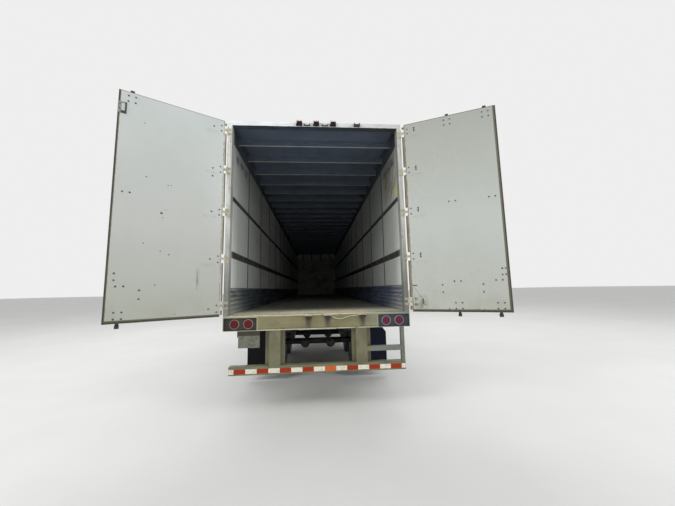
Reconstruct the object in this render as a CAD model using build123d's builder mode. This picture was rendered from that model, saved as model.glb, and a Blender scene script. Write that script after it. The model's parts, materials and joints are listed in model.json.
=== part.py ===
from build123d import *
import os

# A box semi trailer with two swing doors and a sliding tandem bogie, parked on its legs.
# Millimetres. The origin is on the kingpin's axis, at the underside of the coupler plate.
# +Y points to the nose, +Z up and +X to the curb side. The doors are at the -Y end.

# Overall sizes
LENGTH = 16154.4
WIDTH = 2590.8
KINGPIN_SETBACK = 914.4
COUPLER_HEIGHT = 1194.0  # underside of the coupler plate above the ground
FLOOR_HEIGHT = 1270.0  # deck top above the ground
OPENING_HEIGHT = 2780.0  # deck top to the underside of the header
HEADER_HEIGHT = 65.0

HALF = WIDTH / 2
NOSE = KINGPIN_SETBACK
REAR = NOSE - LENGTH
GROUND = -COUPLER_HEIGHT
FLOOR = FLOOR_HEIGHT - COUPLER_HEIGHT
HEADER_LOW = FLOOR + OPENING_HEIGHT
HEADER_TOP = HEADER_LOW + HEADER_HEIGHT

# Gaps between pieces
RUN = 0.3  # between pieces that turn or slide on each other
CLEAR = 6.0  # between a moving piece and what it passes

# Floor
DECK = 28.6
BEAM_DEPTH = 101.6
BEAM_FLANGE = 57.0
BEAM_PLATE = 5.0
BEAM_PITCH = 304.8
FIRST_BEAM = 230.0  # rear frame to the first beam
DECK_LOW = FLOOR - DECK
BEAM_LOW = DECK_LOW - BEAM_DEPTH

# Walls and roof
RAIL_WEB = 6.0
RAIL_FOOT = 75.0  # inward reach of the bottom rail's foot
RAIL_RISE = 54.0  # bottom rail above the deck top
LEDGE_GAP = 1.0  # between the rail's ledge and the deck
WALL = 19.4
PANEL_WIDTH = 1219.2
FIRST_JOINT = 1300.0  # rear face to the first wall joint
LAST_PANEL = 914.4  # shortest panel left at the nose
PANEL_GAP = 3.0
STRIP_WIDTH = 58.0
STRIP = 2.5
ROOF_DROP = 18.0  # header top down to the roof sheet
ROOF_SHEET = 3.0
TOP_RAIL_DEPTH = 112.0
TOP_RAIL_SHELF = 60.0
BOW_LOW = 2730.0  # deck top to the underside of the roof bows
BOW_PITCH = 609.6
FIRST_BOW = 530.0  # rear face to the first bow
BOW_WIDTH = 72.0
BOW_CROWN = 34.0
BOW_PLATE = 3.0
NOSE_RADIUS = 100.0
NOSE_SKIN = 6.0
NOSE_POST = 38.0
NOSE_POST_WIDTH = 64.0
NOSE_POST_PITCH = 609.6
NOSE_POSTS = 4
NOSE_RAIL = 56.0
LINING = 12.7
LINING_HEIGHT = 2400.0
SCUFF_HEIGHT = 390.0
SCUFF_PLATE = 4.0
SCUFF_RIB = 9.0
SCUFF_PITCH = 65.0
SCUFF_SHAPE = (0.3, 0.45, 0.75, 0.9)  # foot, start, end and top of a rib in its pitch
TRACK_DEPTH = 12.0
UPPER_TRACK = (1700.0, 1775.0)  # above the deck
LOWER_TRACK = (830.0, 935.0)

INNER = HALF - RAIL_WEB - WALL
ROOF = HEADER_TOP - ROOF_DROP
LEDGE_TOP = DECK_LOW + RAIL_WEB

# Rear frame
FRAME_DEPTH = 110.0
FRAME_PLATE = 6.0
POST_WIDTH = 62.4
SILL_BELOW = 200.0  # deck top to the sill's lower edge
LAMP_PAN_WIDTH = 444.0  # lamp recess in the sill
LAMP_PAN_SIDE = 9.4  # lamp recess in from the side
LAMP_PAN_DROP = (22.0, 194.0)  # lamp recess, down from the deck top
LAMP_PAN_DEPTH = 26.0
TAIL_LAMPS = (147.4, 333.9)  # lamps in from the side
TAIL_LAMP_DROP = 109.0
TAIL_LAMP_RADIUS = 52.5
TAIL_RING_RADIUS = 67.5
ID_LAMP_PITCH = 254.0
ID_LAMP_WIDTH = 90.0
ID_LAMP_DEPTH = 34.0
ID_LAMP_ABOVE = 8.0  # lamp's foot above the header's lower edge
ID_LAMP_RISE = 20.0  # lamp's top above the header
TAIL_LAMP_DEPTH = (12.0, 8.0)  # ring, lens
SIDE_LAMP = (14.0, 100.0, 32.0)  # depth, length, height
SIDE_LAMP_END = 400.0  # lamps in from the box's ends
THRESHOLD_REACH = 235.0
THRESHOLD = 5.0
FRAME_FRONT = REAR + FRAME_DEPTH
OPENING_HALF = HALF - POST_WIDTH
SILL_LOW = FLOOR - SILL_BELOW
LAMP_PAN = (HALF - LAMP_PAN_SIDE - LAMP_PAN_WIDTH, HALF - LAMP_PAN_SIDE)
TAIL_LAMP_X = tuple(HALF - x for x in TAIL_LAMPS)

# Doors, as they are when shut
DOOR_PANEL = 40.0
DOOR_MEET = 18.0  # panel edge from the middle
DOOR_SIDE = 15.0  # panel edge to the post
DOOR_ABOVE_DECK = 33.0
DOOR_BELOW_HEADER = 14.0
SEAL_OUT = 8.0  # seal beyond the panel at the hinges and the top
SEAL_MEET = 15.5  # and where the doors meet
SEAL_BELOW = 22.0  # and below
SEAL_SET = 6.0  # seal's back in from the panel's outer face
SEAL_LIP = 3.0  # lip over the post between the hinges
LIP_GAP = 5.0  # lip to the post
LIP_TO_PIN = 24.0
HINGE_NOTCH = 60.0  # lip's ends from the middle of a hinge
PIN_IN = 9.4  # hinge pin in from the side
PIN_BACK = 24.0  # hinge pin behind the rear face
PIN_RADIUS = 6.0
KNUCKLE_RADIUS = 11.0
KNUCKLE_FIT = 0.1
HINGE_HEIGHTS = (150.0, 790.0, 1450.0, 2070.0, 2670.0)  # above the deck
HINGE_KNUCKLE = 34.0
STRAP = 8.0
STRAP_REACH = 205.0
LEAF_IN = 4.0  # butt's leaf out from the opening's edge
STRAP_HEIGHT = 104.0
LEFT_OPEN = 148.5  # degrees from shut, as parked
RIGHT_OPEN = 154.0
ROD_RADIUS = 17.0
ROD_STAND = 34.0  # rod's centre off the door's outer face
LEFT_RODS = (135.0,)  # rod's distance from the middle
RIGHT_RODS = (130.0, 618.0)
GUIDE_HEIGHTS = (95.0, 415.0, 1520.0, 2685.0)  # above the deck
GUIDE = (104.0, 48.0, 76.0)  # base width, block width, height
GUIDE_BASE = 6.0
HANDLE_HEIGHT = 530.0
HANDLE_HUB = (26.0, 52.0)  # radius, height
HANDLE_REACH = 290.0
HANDLE_BAR = (32.0, 10.0)  # width, thickness
HANDLE_END_HEIGHT = 320.0
CATCH_OUT = 188.0  # catch's middle out from its rod
CATCH_BASE = (50.0, 255.0, 387.0)  # width, lower and upper ends above the deck
CATCH_HOOK = (30.0, 345.0, 410.0)
CAM_REACH = 42.0  # cam's tip behind the rod's middle
CAM_HALF = 22.0
ROD_END = 18.0  # rod beyond the middle of its keeper
KEEPER_DROP = 32.0
KEEPER_EAR = (30.0, 46.0)
KEEPER_REACH = 37.0
KEEPER_BASE = 8.0
KEEPER_HEIGHT = 46.0

PIN_X = HALF - PIN_IN
PIN_Y = REAR - PIN_BACK
DOOR_OUT = OPENING_HALF - DOOR_SIDE
DOOR_LOW = FLOOR + DOOR_ABOVE_DECK
DOOR_HIGH = HEADER_LOW - DOOR_BELOW_HEADER

# Rear guard, step and plate
GUARD_IN = 87.4  # guard bar's end in from the side
GUARD_DROP = (665.0, 778.0)  # guard bar, down from the deck top
GUARD_DEPTH = 100.0
GUARD_WALL = 6.0
UPRIGHT_X = 600.0
UPRIGHT_CROWN = 152.0
UPRIGHT_SPREAD = 270.0
UPRIGHT_DEPTH = 80.0
UPRIGHT_FLARE = 8.0
GUARD_SET = 4.0  # uprights and step in from the rear face
STEP_POST_IN = (137.4, 88.4)  # step's post, in from the side
STEP_RAIL_DROP = (454.0, 520.0)
STEP_DEPTH = 60.0
PLATE_IN = (494.4, 206.4)  # number plate's ends, in from the left side
PLATE_DROP = (265.0, 426.0)
PLATE_SET = 12.0  # plate's bracket in from the rear face
PLATE_LAP = 20.0  # bracket below the plate's top
PLATE_FOLD = 40.0
PLATE_SHEET = (3.0, 2.0)  # bracket, plate
PLATE_SPARE = 15.0  # bracket beyond the plate at the side

GUARD_HALF = HALF - GUARD_IN
STEP_POST = tuple(HALF - x for x in STEP_POST_IN)
PLATE_X = tuple(HALF - x for x in PLATE_IN)

# Coupler
COUPLER_PLATE = 8.0
COUPLER_HALF = 610.0
COUPLER_BACK = 1100.0  # coupler plate behind the kingpin
COUPLER_RIBS = 6
COUPLER_LIP = 90.0  # raised lip behind the nose
COUPLER_SLOPE = 60.0
COUPLER_WEB = 10.0
COUPLER_WEB_IN = 30.0  # outer webs in from the plate's edge
KINGPIN_SEAT = 42.0  # radius of its seat in the coupler plate
KINGPIN_SHOULDER = (36.5, 35.0)  # radius, length
KINGPIN_NECK = (25.4, 28.0)
KINGPIN_COLLAR = (35.75, 21.0)
KINGPIN_CHAMFER = 4.0

# Service panel on the nose
SERVICE_PLATE = (340.0, 5.0, 160.0)  # width, thickness, height
SERVICE_HEIGHT = 120.0  # panel's middle above the deck top
SOCKET = (34.0, 26.0, 70.0, 50.0)  # outer and bore radius, length, depth of the bore
AIR_X = 115.0
AIR_NECK = (14.0, 32.0)  # radius, end in front of the nose
AIR_HEAD = (30.0, 62.0)

# Landing gear
LEG_BACK = 2590.0  # legs behind the kingpin
LEG_X = 935.0
LEG_OUTER = 127.0
LEG_INNER = 102.0
LEG_TUBE_LOW = 790.0  # outer tube's lower end below the coupler plate
SHOE = (254.0, 300.0)
SHOE_PLATE = 10.0
SHOE_TURN_UP = 22.0
SHOE_CHEEK = (104.0, 60.0, 120.0, 10.0)  # length at the foot and the top, height, thickness
SHOE_BLOCK = (80.0, 60.0)  # length, height of the block between the cheeks
SHAFT_DROP = 330.0
SHAFT_RADIUS = 13.0
GEARBOX = (70.0, 96.0, 150.0)  # width, length, height
GEARBOX_BELOW = 90.0  # gearbox's foot below the shaft
LEG_MOUNT = 10.0
LEG_FLANGE = (46.0, 8.0, 380.0)  # beyond the leg, thickness, drop
CRANK_STUB = 55.0
CRANK_ARM = (30.0, 8.0, 300.0)  # width, thickness, length
CRANK_GRIP = (12.0, 95.0)  # radius, length
BRACE_FOOT = 110.0  # braces above the outer tube's end
BRACE = (70.0, 8.0)  # depth, thickness
BRACE_BACK = 800.0  # reach of the long braces behind the legs
BRACE_TOP = (80.0, 150.0)  # inner ends of the cross braces, out from the middle
BRACE_HEAD = (340.0, 60.0)  # width, height of the block under the beams

# Slide rails and slider
SLIDE_X = 540.0  # middle of the slider's rail
SLIDE_RAIL_DEPTH = 96.0
SLIDE_RAIL_PLATE = 8.0
SLIDE_RAIL_BEHIND = 560.0  # rails start in front of the rear face
SLIDE_RAIL_LENGTH = 5400.0
PIN_HOLE_RADIUS = 20.0
PIN_HOLE_PITCH = 152.4
SLIDER_WIDTH = 80.0
SLIDER_DEPTH = 150.0
SLIDER_WALL = 8.0
SLIDER_TAIL = 1000.0  # slider behind the rear axle
SLIDER_NOSE = 780.0  # slider ahead of the front axle
PAD = (260.0, 150.0)  # length, and from its middle to the slider's end
CLIP = (120.0, 60.0, 22.0)  # length, drop below the slider's top, hook over the rail
CROSS_FLANGE = 40.0
CROSS_DROP = 20.0  # crossmembers below the slider's top
HANGER_AHEAD = 510.0  # arm's pivot ahead of its axle
HANGER_DROP = 190.0  # arm's pivot below the slider rail
HANGER_HALF = (130.0, 62.0)  # half its length at the top and at the foot
HANGER_PLATE = 12.0
HANGER_TIE = (50.0, 72.0, 60.0)  # half length, below and above the slider's foot
PIVOT_RADIUS = 24.0
ARM_EYE = 48.0
ARM_WIDTH = 74.0
ARM_SIDE = 1.0  # arm to its hanger's plates
SPRING_BEHIND = 300.0
SPRING_RADIUS = 108.0
SPRING_SEAT_DROP = 195.0  # spring's seat below the slider rail
PULL_ROD = (8.0, 60.0, 40.0)  # radius, behind the slider's front, above its foot
PULL_OUT = 1150.0
PULL_GRIP = 110.0
ARM_CLASP = 20.0  # arm's sides down beside the axle's seat
CHAMBER_X = 265.0
CHAMBER_BEHIND = 100.0
CHAMBER_RADIUS = 92.0
CHAMBER_LENGTH = 215.0
TANK_RADIUS = 110.0
TANK_CAP = 40.0
FLAP_IN = (627.4, 13.4)  # flap's edges, in from the side
FLAP_DROP = 1165.0  # flap's foot, down from the deck top
FLAP_CORNER = (70.0, 90.0)
FLAP = 9.0
FLAP_BAR = 50.0

# Wheels
REAR_AXLE = 2450.0  # rear face to the rear axle
AXLE_SPREAD = 1244.6
TYRE_RADIUS = 507.0
TYRE_HALF = 138.0
DUAL_MIDDLE = 984.0  # out from the middle to the wheels' mounting face
DUAL_HALF = 166.0  # mounting face to a tyre's middle
RIM_RADIUS = 286.0
RIM_FLANGE = 298.0
HUB_RADIUS = 110.0
DISC = 11.0
DRUM_RADIUS = 209.0
DRUM_REACH = 218.0
AXLE_RADIUS = 63.5
SPINDLE_RADIUS = 40.0
SPINDLE = (834.0, 1054.0)  # spindle's start and end out from the middle
SHIELD_GAP = 16.0
SHIELD_PLATE = 5.0
CAMSHAFT = (112.0, 24.0, 19.0)  # behind the axle, above it, radius
HAND_HOLES = 5
HAND_HOLE = 30.0
HAND_HOLE_CIRCLE = 214.0
TYRE_SIDES = 36

AXLE_Z = GROUND + TYRE_RADIUS
AXLES = (("rear", REAR + REAR_AXLE), ("front", REAR + REAR_AXLE + AXLE_SPREAD))
AXLE_ROWS = [y for axle, y in AXLES]
PIVOTS = [y + HANGER_AHEAD for y in AXLE_ROWS]
SPRINGS = [y - SPRING_BEHIND for y in AXLE_ROWS]
SLIDE_RAIL_LOW = BEAM_LOW - SLIDE_RAIL_DEPTH
SLIDER_TOP = SLIDE_RAIL_LOW - CLEAR
SLIDER_LOW = SLIDER_TOP - SLIDER_DEPTH
SLIDER_BACK = AXLES[0][1] - SLIDER_TAIL
SLIDER_FRONT = AXLES[1][1] + SLIDER_NOSE
PIVOT_Z = SLIDER_LOW - HANGER_DROP
FLAP_X = tuple(HALF - x for x in FLAP_IN)
SEAT_Z = SLIDER_LOW - SPRING_SEAT_DROP

SIDES = ((-1, "left"), (1, "right"))
DOORS = ((-1, "left", LEFT_OPEN, LEFT_RODS), (1, "right", RIGHT_OPEN, RIGHT_RODS))


# Shapes that the pieces share
def block(x, y, z, mode=Mode.ADD):
    """A box from two ends on each axis, given in either order."""
    middle = tuple((a + b) / 2 for a, b in (x, y, z))
    with Locations(middle):
        Box(*(abs(b - a) for a, b in (x, y, z)), mode=mode)


def face_of(plane, points):
    """A flat face from the corners of an outline."""
    with BuildSketch(plane) as profile:
        with BuildLine():
            Polyline(*points, close=True)
        make_face()
    return profile.sketch


def along(points, y0, y1, mode=Mode.ADD):
    """An (X, Z) outline carried along the trailer from y0 to y1."""
    extrude(face_of(Plane.XZ.offset(-y0), points), amount=y0 - y1, mode=mode)


def across(points, x0, x1, mode=Mode.ADD):
    """A (Y, Z) outline carried across the trailer from x0 to x1."""
    low, high = sorted((x0, x1))
    extrude(face_of(Plane.YZ.offset(low), points), amount=high - low, mode=mode)


def upward(points, z0, z1, mode=Mode.ADD):
    """An (X, Y) outline carried up from z0 to z1."""
    extrude(face_of(Plane.XY.offset(z0), points), amount=z1 - z0, mode=mode)


def rod(start, end, radius, mode=Mode.ADD):
    """A round bar between two points."""
    direction = Vector(*end) - Vector(*start)
    with BuildSketch(Plane(origin=start, z_dir=direction)) as section:
        Circle(radius)
    extrude(section.sketch, amount=direction.length, mode=mode)


def turned(points, x, y, z, mode=Mode.ADD):
    """An outline of (distance along X, radius) points, turned about a line along X."""
    plane = Plane(origin=(x, y, z), x_dir=(1, 0, 0), z_dir=(0, -1, 0))
    revolve(face_of(plane, points), axis=Axis((x, y, z), (1, 0, 0)), mode=mode)


def sided(rings, x, y, z, mode=Mode.ADD):
    """Even-sided rings of (distance along X, radius), joined by flat faces."""
    outlines = []
    for distance, radius in rings:
        with BuildSketch(Plane(origin=(x + distance, y, z), x_dir=(0, 1, 0), z_dir=(1, 0, 0))) as ring:
            RegularPolygon(radius, TYRE_SIDES)
        outlines.append(ring.sketch)
    loft(sections=outlines, ruled=True, mode=mode)


def keep(part, name):
    """Names a finished piece and writes it."""
    part.label = name
    export_step(part, f"parts/{name}.step")


def rows(first, last, pitch):
    """Places from first on, a pitch apart, that stay short of last."""
    return [first + pitch * i for i in range(int((last - first) / pitch) + 1)]


os.makedirs("parts", exist_ok=True)
LINING_BACK = NOSE - NOSE_SKIN - NOSE_POST - LINING
BOX_START = FRAME_FRONT
BOX_END = NOSE - NOSE_RADIUS

# Deck of laminated boards
with BuildPart() as floor_deck:
    block((-INNER, INNER), (BOX_START, NOSE - NOSE_SKIN - NOSE_POST), (DECK_LOW, FLOOR))
keep(floor_deck.part, "floor_deck")

# I-beams under the deck, from the rear frame to the coupler
COUPLER_END = -COUPLER_BACK
BEAM_ROWS = rows(BOX_START + FIRST_BEAM, COUPLER_END - BEAM_FLANGE, BEAM_PITCH)
with BuildPart() as floor_beams:
    reach = HALF - RAIL_WEB
    for y in BEAM_ROWS:
        flange, web = BEAM_FLANGE / 2, BEAM_PLATE / 2
        inside = (BEAM_LOW + BEAM_PLATE, DECK_LOW - BEAM_PLATE)
        right_half = [
            (y + flange, BEAM_LOW),
            (y + flange, inside[0]),
            (y + web, inside[0]),
            (y + web, inside[1]),
            (y + flange, inside[1]),
            (y + flange, DECK_LOW),
        ]
        left_half = [(2 * y - p, z) for p, z in reversed(right_half)]
        across(right_half + left_half, -reach, reach)
keep(floor_beams.part, "floor_beams")

# Bottom rails: a web outside, a foot under the beams and a ledge under the wall
with BuildPart() as bottom_rails:
    web = HALF - RAIL_WEB
    along(
        [
            (HALF, BEAM_LOW - RAIL_WEB),
            (HALF, FLOOR + RAIL_RISE),
            (web, FLOOR + RAIL_RISE),
            (web, LEDGE_TOP),
            (INNER + LEDGE_GAP, LEDGE_TOP),
            (INNER + LEDGE_GAP, DECK_LOW),
            (web, DECK_LOW),
            (web, BEAM_LOW),
            (HALF - RAIL_FOOT, BEAM_LOW),
            (HALF - RAIL_FOOT, BEAM_LOW - RAIL_WEB),
        ],
        BOX_START,
        BOX_END,
    )
    mirror(about=Plane.YZ)
keep(bottom_rails.part, "bottom_rails")

# Top rails: a web outside the wall and a shelf over it
with BuildPart() as top_rails:
    web = HALF - RAIL_WEB
    along(
        [
            (HALF, ROOF - TOP_RAIL_DEPTH),
            (HALF, ROOF - RAIL_WEB),
            (HALF - RAIL_WEB, ROOF),
            (INNER - TOP_RAIL_SHELF, ROOF),
            (INNER - TOP_RAIL_SHELF, ROOF - ROOF_SHEET),
            (web, ROOF - ROOF_SHEET),
            (web, ROOF - TOP_RAIL_DEPTH),
        ],
        BOX_START,
        BOX_END,
    )
    mirror(about=Plane.YZ)
keep(top_rails.part, "top_rails")

# Wall panels, parted at each joint
JOINTS = rows(REAR + FIRST_JOINT, BOX_END - LAST_PANEL, PANEL_WIDTH)
EDGES = [BOX_START - PANEL_GAP / 2] + JOINTS + [BOX_END + PANEL_GAP / 2]
for side, side_name in SIDES:
    with BuildPart() as panels:
        for start, end in zip(EDGES, EDGES[1:]):
            block(
                (side * INNER, side * (HALF - RAIL_WEB)),
                (start + PANEL_GAP / 2, end - PANEL_GAP / 2),
                (LEDGE_TOP, ROOF - ROOF_SHEET),
            )
    keep(panels.part, f"side_panels_{side_name}")

# Flat tracks with tapered edges along both walls
for side, side_name in SIDES:
    with BuildPart() as tracks:
        for low, high in (LOWER_TRACK, UPPER_TRACK):
            along(
                [
                    (side * INNER, FLOOR + low),
                    (side * INNER, FLOOR + high),
                    (side * (INNER - TRACK_DEPTH), FLOOR + high - TRACK_DEPTH),
                    (side * (INNER - TRACK_DEPTH), FLOOR + low + TRACK_DEPTH),
                ],
                BOX_START,
                LINING_BACK,
            )
    keep(tracks.part, f"wall_tracks_{side_name}")

# Strips over the wall joints, between the scuff liner, the tracks and the roof rail
STRIP_SPANS = (
    (FLOOR + SCUFF_HEIGHT, FLOOR + LOWER_TRACK[0]),
    (FLOOR + LOWER_TRACK[1], FLOOR + UPPER_TRACK[0]),
    (FLOOR + UPPER_TRACK[1], ROOF - TOP_RAIL_DEPTH),
)
with BuildPart() as joint_strips:
    for y in JOINTS:
        for low, high in STRIP_SPANS:
            block((INNER - STRIP, INNER), (y - STRIP_WIDTH / 2, y + STRIP_WIDTH / 2), (low, high))
    mirror(about=Plane.YZ)
keep(joint_strips.part, "joint_strips")

# Ribbed scuff liners along the foot of both walls
RIBS = int(SCUFF_HEIGHT / SCUFF_PITCH)
for side, side_name in SIDES:
    with BuildPart() as liner:
        face = [(INNER - SCUFF_PLATE, FLOOR)]
        for rib in range(RIBS):
            foot = FLOOR + SCUFF_PITCH * rib
            for share, rise in zip(SCUFF_SHAPE, (0, SCUFF_RIB, SCUFF_RIB, 0)):
                face.append((INNER - SCUFF_PLATE - rise, foot + SCUFF_PITCH * share))
        face += [(INNER - SCUFF_PLATE, FLOOR + SCUFF_HEIGHT), (INNER, FLOOR + SCUFF_HEIGHT)]
        face.append((INNER, FLOOR))
        along([(side * x, z) for x, z in face], BOX_START, LINING_BACK)
    keep(liner.part, f"scuff_liner_{side_name}")

# Roof sheet between the top rails, and hat-section bows under it
with BuildPart() as roof_sheet:
    half = INNER - TOP_RAIL_SHELF
    block((-half, half), (BOX_START, NOSE - NOSE_RADIUS), (ROOF - ROOF_SHEET, ROOF))
keep(roof_sheet.part, "roof_sheet")

with BuildPart() as roof_bows:
    crown, flange = BOW_CROWN / 2, BOW_WIDTH / 2
    low, high = FLOOR + BOW_LOW, ROOF - ROOF_SHEET
    for y in rows(REAR + FIRST_BOW, BOX_END - BOW_WIDTH, BOW_PITCH):
        half_hat = [
            (y + crown, low),
            (y + crown, high - BOW_PLATE),
            (y + flange, high - BOW_PLATE),
            (y + flange, high),
            (y + crown - BOW_PLATE, high),
            (y + crown - BOW_PLATE, low + BOW_PLATE),
        ]
        other_half = [(2 * y - p, z) for p, z in reversed(half_hat)]
        across(half_hat + other_half, -INNER, INNER)
keep(roof_bows.part, "roof_bows")

# Front wall: a skin with round corners, posts, and rails top and bottom
with BuildPart() as front_wall:
    middle = (0, NOSE - 2 * NOSE_RADIUS)
    with BuildSketch(Plane.XY.offset(BEAM_LOW - RAIL_WEB)) as skin:
        with Locations(middle):
            RectangleRounded(WIDTH, 4 * NOSE_RADIUS, NOSE_RADIUS)
            RectangleRounded(
                WIDTH - 2 * NOSE_SKIN,
                4 * NOSE_RADIUS - 2 * NOSE_SKIN,
                NOSE_RADIUS - NOSE_SKIN,
                mode=Mode.SUBTRACT,
            )
        with Locations((0, BOX_END - 2 * NOSE_RADIUS)):
            Rectangle(WIDTH, 4 * NOSE_RADIUS, mode=Mode.SUBTRACT)
    extrude(skin.sketch, amount=ROOF - BEAM_LOW + RAIL_WEB)
    back = NOSE - NOSE_SKIN
    for post in range(NOSE_POSTS):
        middle = (post - (NOSE_POSTS - 1) / 2) * NOSE_POST_PITCH
        block(
            (middle - NOSE_POST_WIDTH / 2, middle + NOSE_POST_WIDTH / 2),
            (back - NOSE_POST, back),
            (FLOOR, ROOF - NOSE_RAIL),
        )
    half = HALF - NOSE_RADIUS
    block((-half, half), (back - NOSE_POST, back), (ROOF - NOSE_RAIL, ROOF))
    block((-half, half), (back - NOSE_POST, back), (BEAM_LOW - RAIL_WEB, DECK_LOW))
keep(front_wall.part, "front_wall")

# Lining board inside the front wall
with BuildPart() as front_lining:
    block((-INNER, INNER), (LINING_BACK, LINING_BACK + LINING), (FLOOR, FLOOR + LINING_HEIGHT))
keep(front_lining.part, "front_lining")

# Coupler: a plate with a raised front lip, and channels across it up to the deck
with BuildPart() as coupler:
    lip = NOSE - COUPLER_LIP
    foot = lip - COUPLER_SLOPE
    across(
        [
            (COUPLER_END, 0),
            (foot, 0),
            (lip, DECK_LOW - COUPLER_PLATE),
            (lip, DECK_LOW),
            (foot, COUPLER_PLATE),
            (COUPLER_END, COUPLER_PLATE),
        ],
        -COUPLER_HALF,
        COUPLER_HALF,
    )
    pitch = (foot - 2 * BEAM_FLANGE - COUPLER_END) / (COUPLER_RIBS - 1)
    reach = HALF - RAIL_WEB
    for rib in range(COUPLER_RIBS):
        y = COUPLER_END + pitch * rib
        block((-reach, reach), (y, y + BEAM_FLANGE), (COUPLER_PLATE, DECK_LOW))
    web_x = COUPLER_HALF - COUPLER_WEB_IN
    for x in (-web_x, 0, web_x):
        width = (x - COUPLER_WEB / 2, x + COUPLER_WEB / 2)
        block(width, (COUPLER_END, foot), (COUPLER_PLATE, DECK_LOW))
    rod((0, 0, 0), (0, 0, COUPLER_PLATE), KINGPIN_SEAT + RUN, mode=Mode.SUBTRACT)
keep(coupler.part, "coupler")

# Kingpin
with BuildPart() as kingpin:
    shoulder_low = -KINGPIN_SHOULDER[1]
    neck_low = shoulder_low - KINGPIN_NECK[1]
    pin_low = neck_low - KINGPIN_COLLAR[1]
    with BuildSketch(Plane.XZ) as half_pin:
        with BuildLine():
            Polyline(
                (0, COUPLER_PLATE),
                (KINGPIN_SEAT, COUPLER_PLATE),
                (KINGPIN_SEAT, 0),
                (KINGPIN_SHOULDER[0], 0),
                (KINGPIN_SHOULDER[0], shoulder_low),
                (KINGPIN_NECK[0], shoulder_low),
                (KINGPIN_NECK[0], neck_low),
                (KINGPIN_COLLAR[0], neck_low),
                (KINGPIN_COLLAR[0], pin_low + KINGPIN_CHAMFER),
                (KINGPIN_COLLAR[0] - KINGPIN_CHAMFER, pin_low),
                (0, pin_low),
                close=True,
            )
        make_face()
    revolve(half_pin.sketch, axis=Axis.Z)
keep(kingpin.part, "kingpin")

# Rear posts: box sections beside the opening
with BuildPart() as rear_posts:
    block((OPENING_HALF, HALF), (REAR, FRAME_FRONT), (FLOOR, HEADER_LOW))
    inside = (OPENING_HALF + FRAME_PLATE, HALF - FRAME_PLATE)
    depth = (REAR + FRAME_PLATE, FRAME_FRONT - FRAME_PLATE)
    block(inside, depth, (FLOOR, HEADER_LOW), mode=Mode.SUBTRACT)
    mirror(about=Plane.YZ)
keep(rear_posts.part, "rear_posts")

# Header: a channel over the opening, open towards the roof
with BuildPart() as rear_header:
    block((-HALF, HALF), (REAR, FRAME_FRONT), (HEADER_LOW, HEADER_TOP))
    block(
        (-HALF + FRAME_PLATE, HALF - FRAME_PLATE),
        (REAR + FRAME_PLATE, FRAME_FRONT),
        (HEADER_LOW + FRAME_PLATE, HEADER_TOP - FRAME_PLATE),
        mode=Mode.SUBTRACT,
    )
keep(rear_header.part, "rear_header")

# Sill: a channel under the opening, with a pan let in at each end for the lamps
with BuildPart() as rear_sill:
    plate = FRAME_PLATE
    across(
        [
            (REAR, SILL_LOW),
            (REAR, FLOOR),
            (FRAME_FRONT, FLOOR),
            (FRAME_FRONT, FLOOR - plate),
            (REAR + plate, FLOOR - plate),
            (REAR + plate, SILL_LOW + plate),
            (FRAME_FRONT, SILL_LOW + plate),
            (FRAME_FRONT, SILL_LOW),
        ],
        -HALF,
        HALF,
    )
    pan_z = (FLOOR - LAMP_PAN_DROP[0], FLOOR - LAMP_PAN_DROP[1])
    pan_back = REAR + LAMP_PAN_DEPTH
    for side, side_name in SIDES:
        pan_x = (side * LAMP_PAN[0], side * LAMP_PAN[1])
        box_x = (side * (LAMP_PAN[0] - plate), side * HALF)
        block(box_x, (REAR, pan_back + plate), (SILL_LOW, FLOOR))
        block(pan_x, (REAR, pan_back), pan_z, mode=Mode.SUBTRACT)
keep(rear_sill.part, "rear_sill")

# Threshold plate over the sill and the deck's end
with BuildPart() as threshold:
    across(
        [
            (REAR, FLOOR),
            (REAR, FLOOR + THRESHOLD),
            (REAR + THRESHOLD_REACH - 3 * THRESHOLD, FLOOR + THRESHOLD),
            (REAR + THRESHOLD_REACH, FLOOR + 1),
            (REAR + THRESHOLD_REACH, FLOOR),
        ],
        -OPENING_HALF,
        OPENING_HALF,
    )
keep(threshold.part, "threshold")

# Keepers for the rods' cams: a base and two ears, on the sill and on the header
with BuildPart() as keepers:
    for middle in [-x for x in LEFT_RODS] + list(RIGHT_RODS):
        for z in (FLOOR - KEEPER_DROP, HEADER_LOW + HEADER_HEIGHT / 2):
            height = (z - KEEPER_HEIGHT / 2, z + KEEPER_HEIGHT / 2)
            width = (middle - KEEPER_EAR[1], middle + KEEPER_EAR[1])
            block(width, (REAR - KEEPER_BASE, REAR), height)
            for side in (-1, 1):
                ear = (middle + side * KEEPER_EAR[0], middle + side * KEEPER_EAR[1])
                block(ear, (REAR - KEEPER_REACH, REAR), height)
keep(keepers.part, "keepers")

# Tail lamps: a ring and a domed lens in each pan
with BuildPart() as tail_lamps:
    z = FLOOR - TAIL_LAMP_DROP
    for x in [-v for v in TAIL_LAMP_X] + list(TAIL_LAMP_X):
        ring_y = pan_back - TAIL_LAMP_DEPTH[0]
        rod((x, pan_back, z), (x, ring_y, z), TAIL_RING_RADIUS)
        rod((x, ring_y, z), (x, ring_y - TAIL_LAMP_DEPTH[1], z), TAIL_LAMP_RADIUS)
keep(tail_lamps.part, "tail_lamps")

# Three lamps in open boxes on the header
with BuildPart() as header_lamps:
    for x in (-ID_LAMP_PITCH, 0, ID_LAMP_PITCH):
        width = (x - ID_LAMP_WIDTH / 2, x + ID_LAMP_WIDTH / 2)
        height = (HEADER_LOW + ID_LAMP_ABOVE, HEADER_TOP + ID_LAMP_RISE)
        block(width, (REAR - ID_LAMP_DEPTH, REAR), height)
keep(header_lamps.part, "header_lamps")

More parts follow.
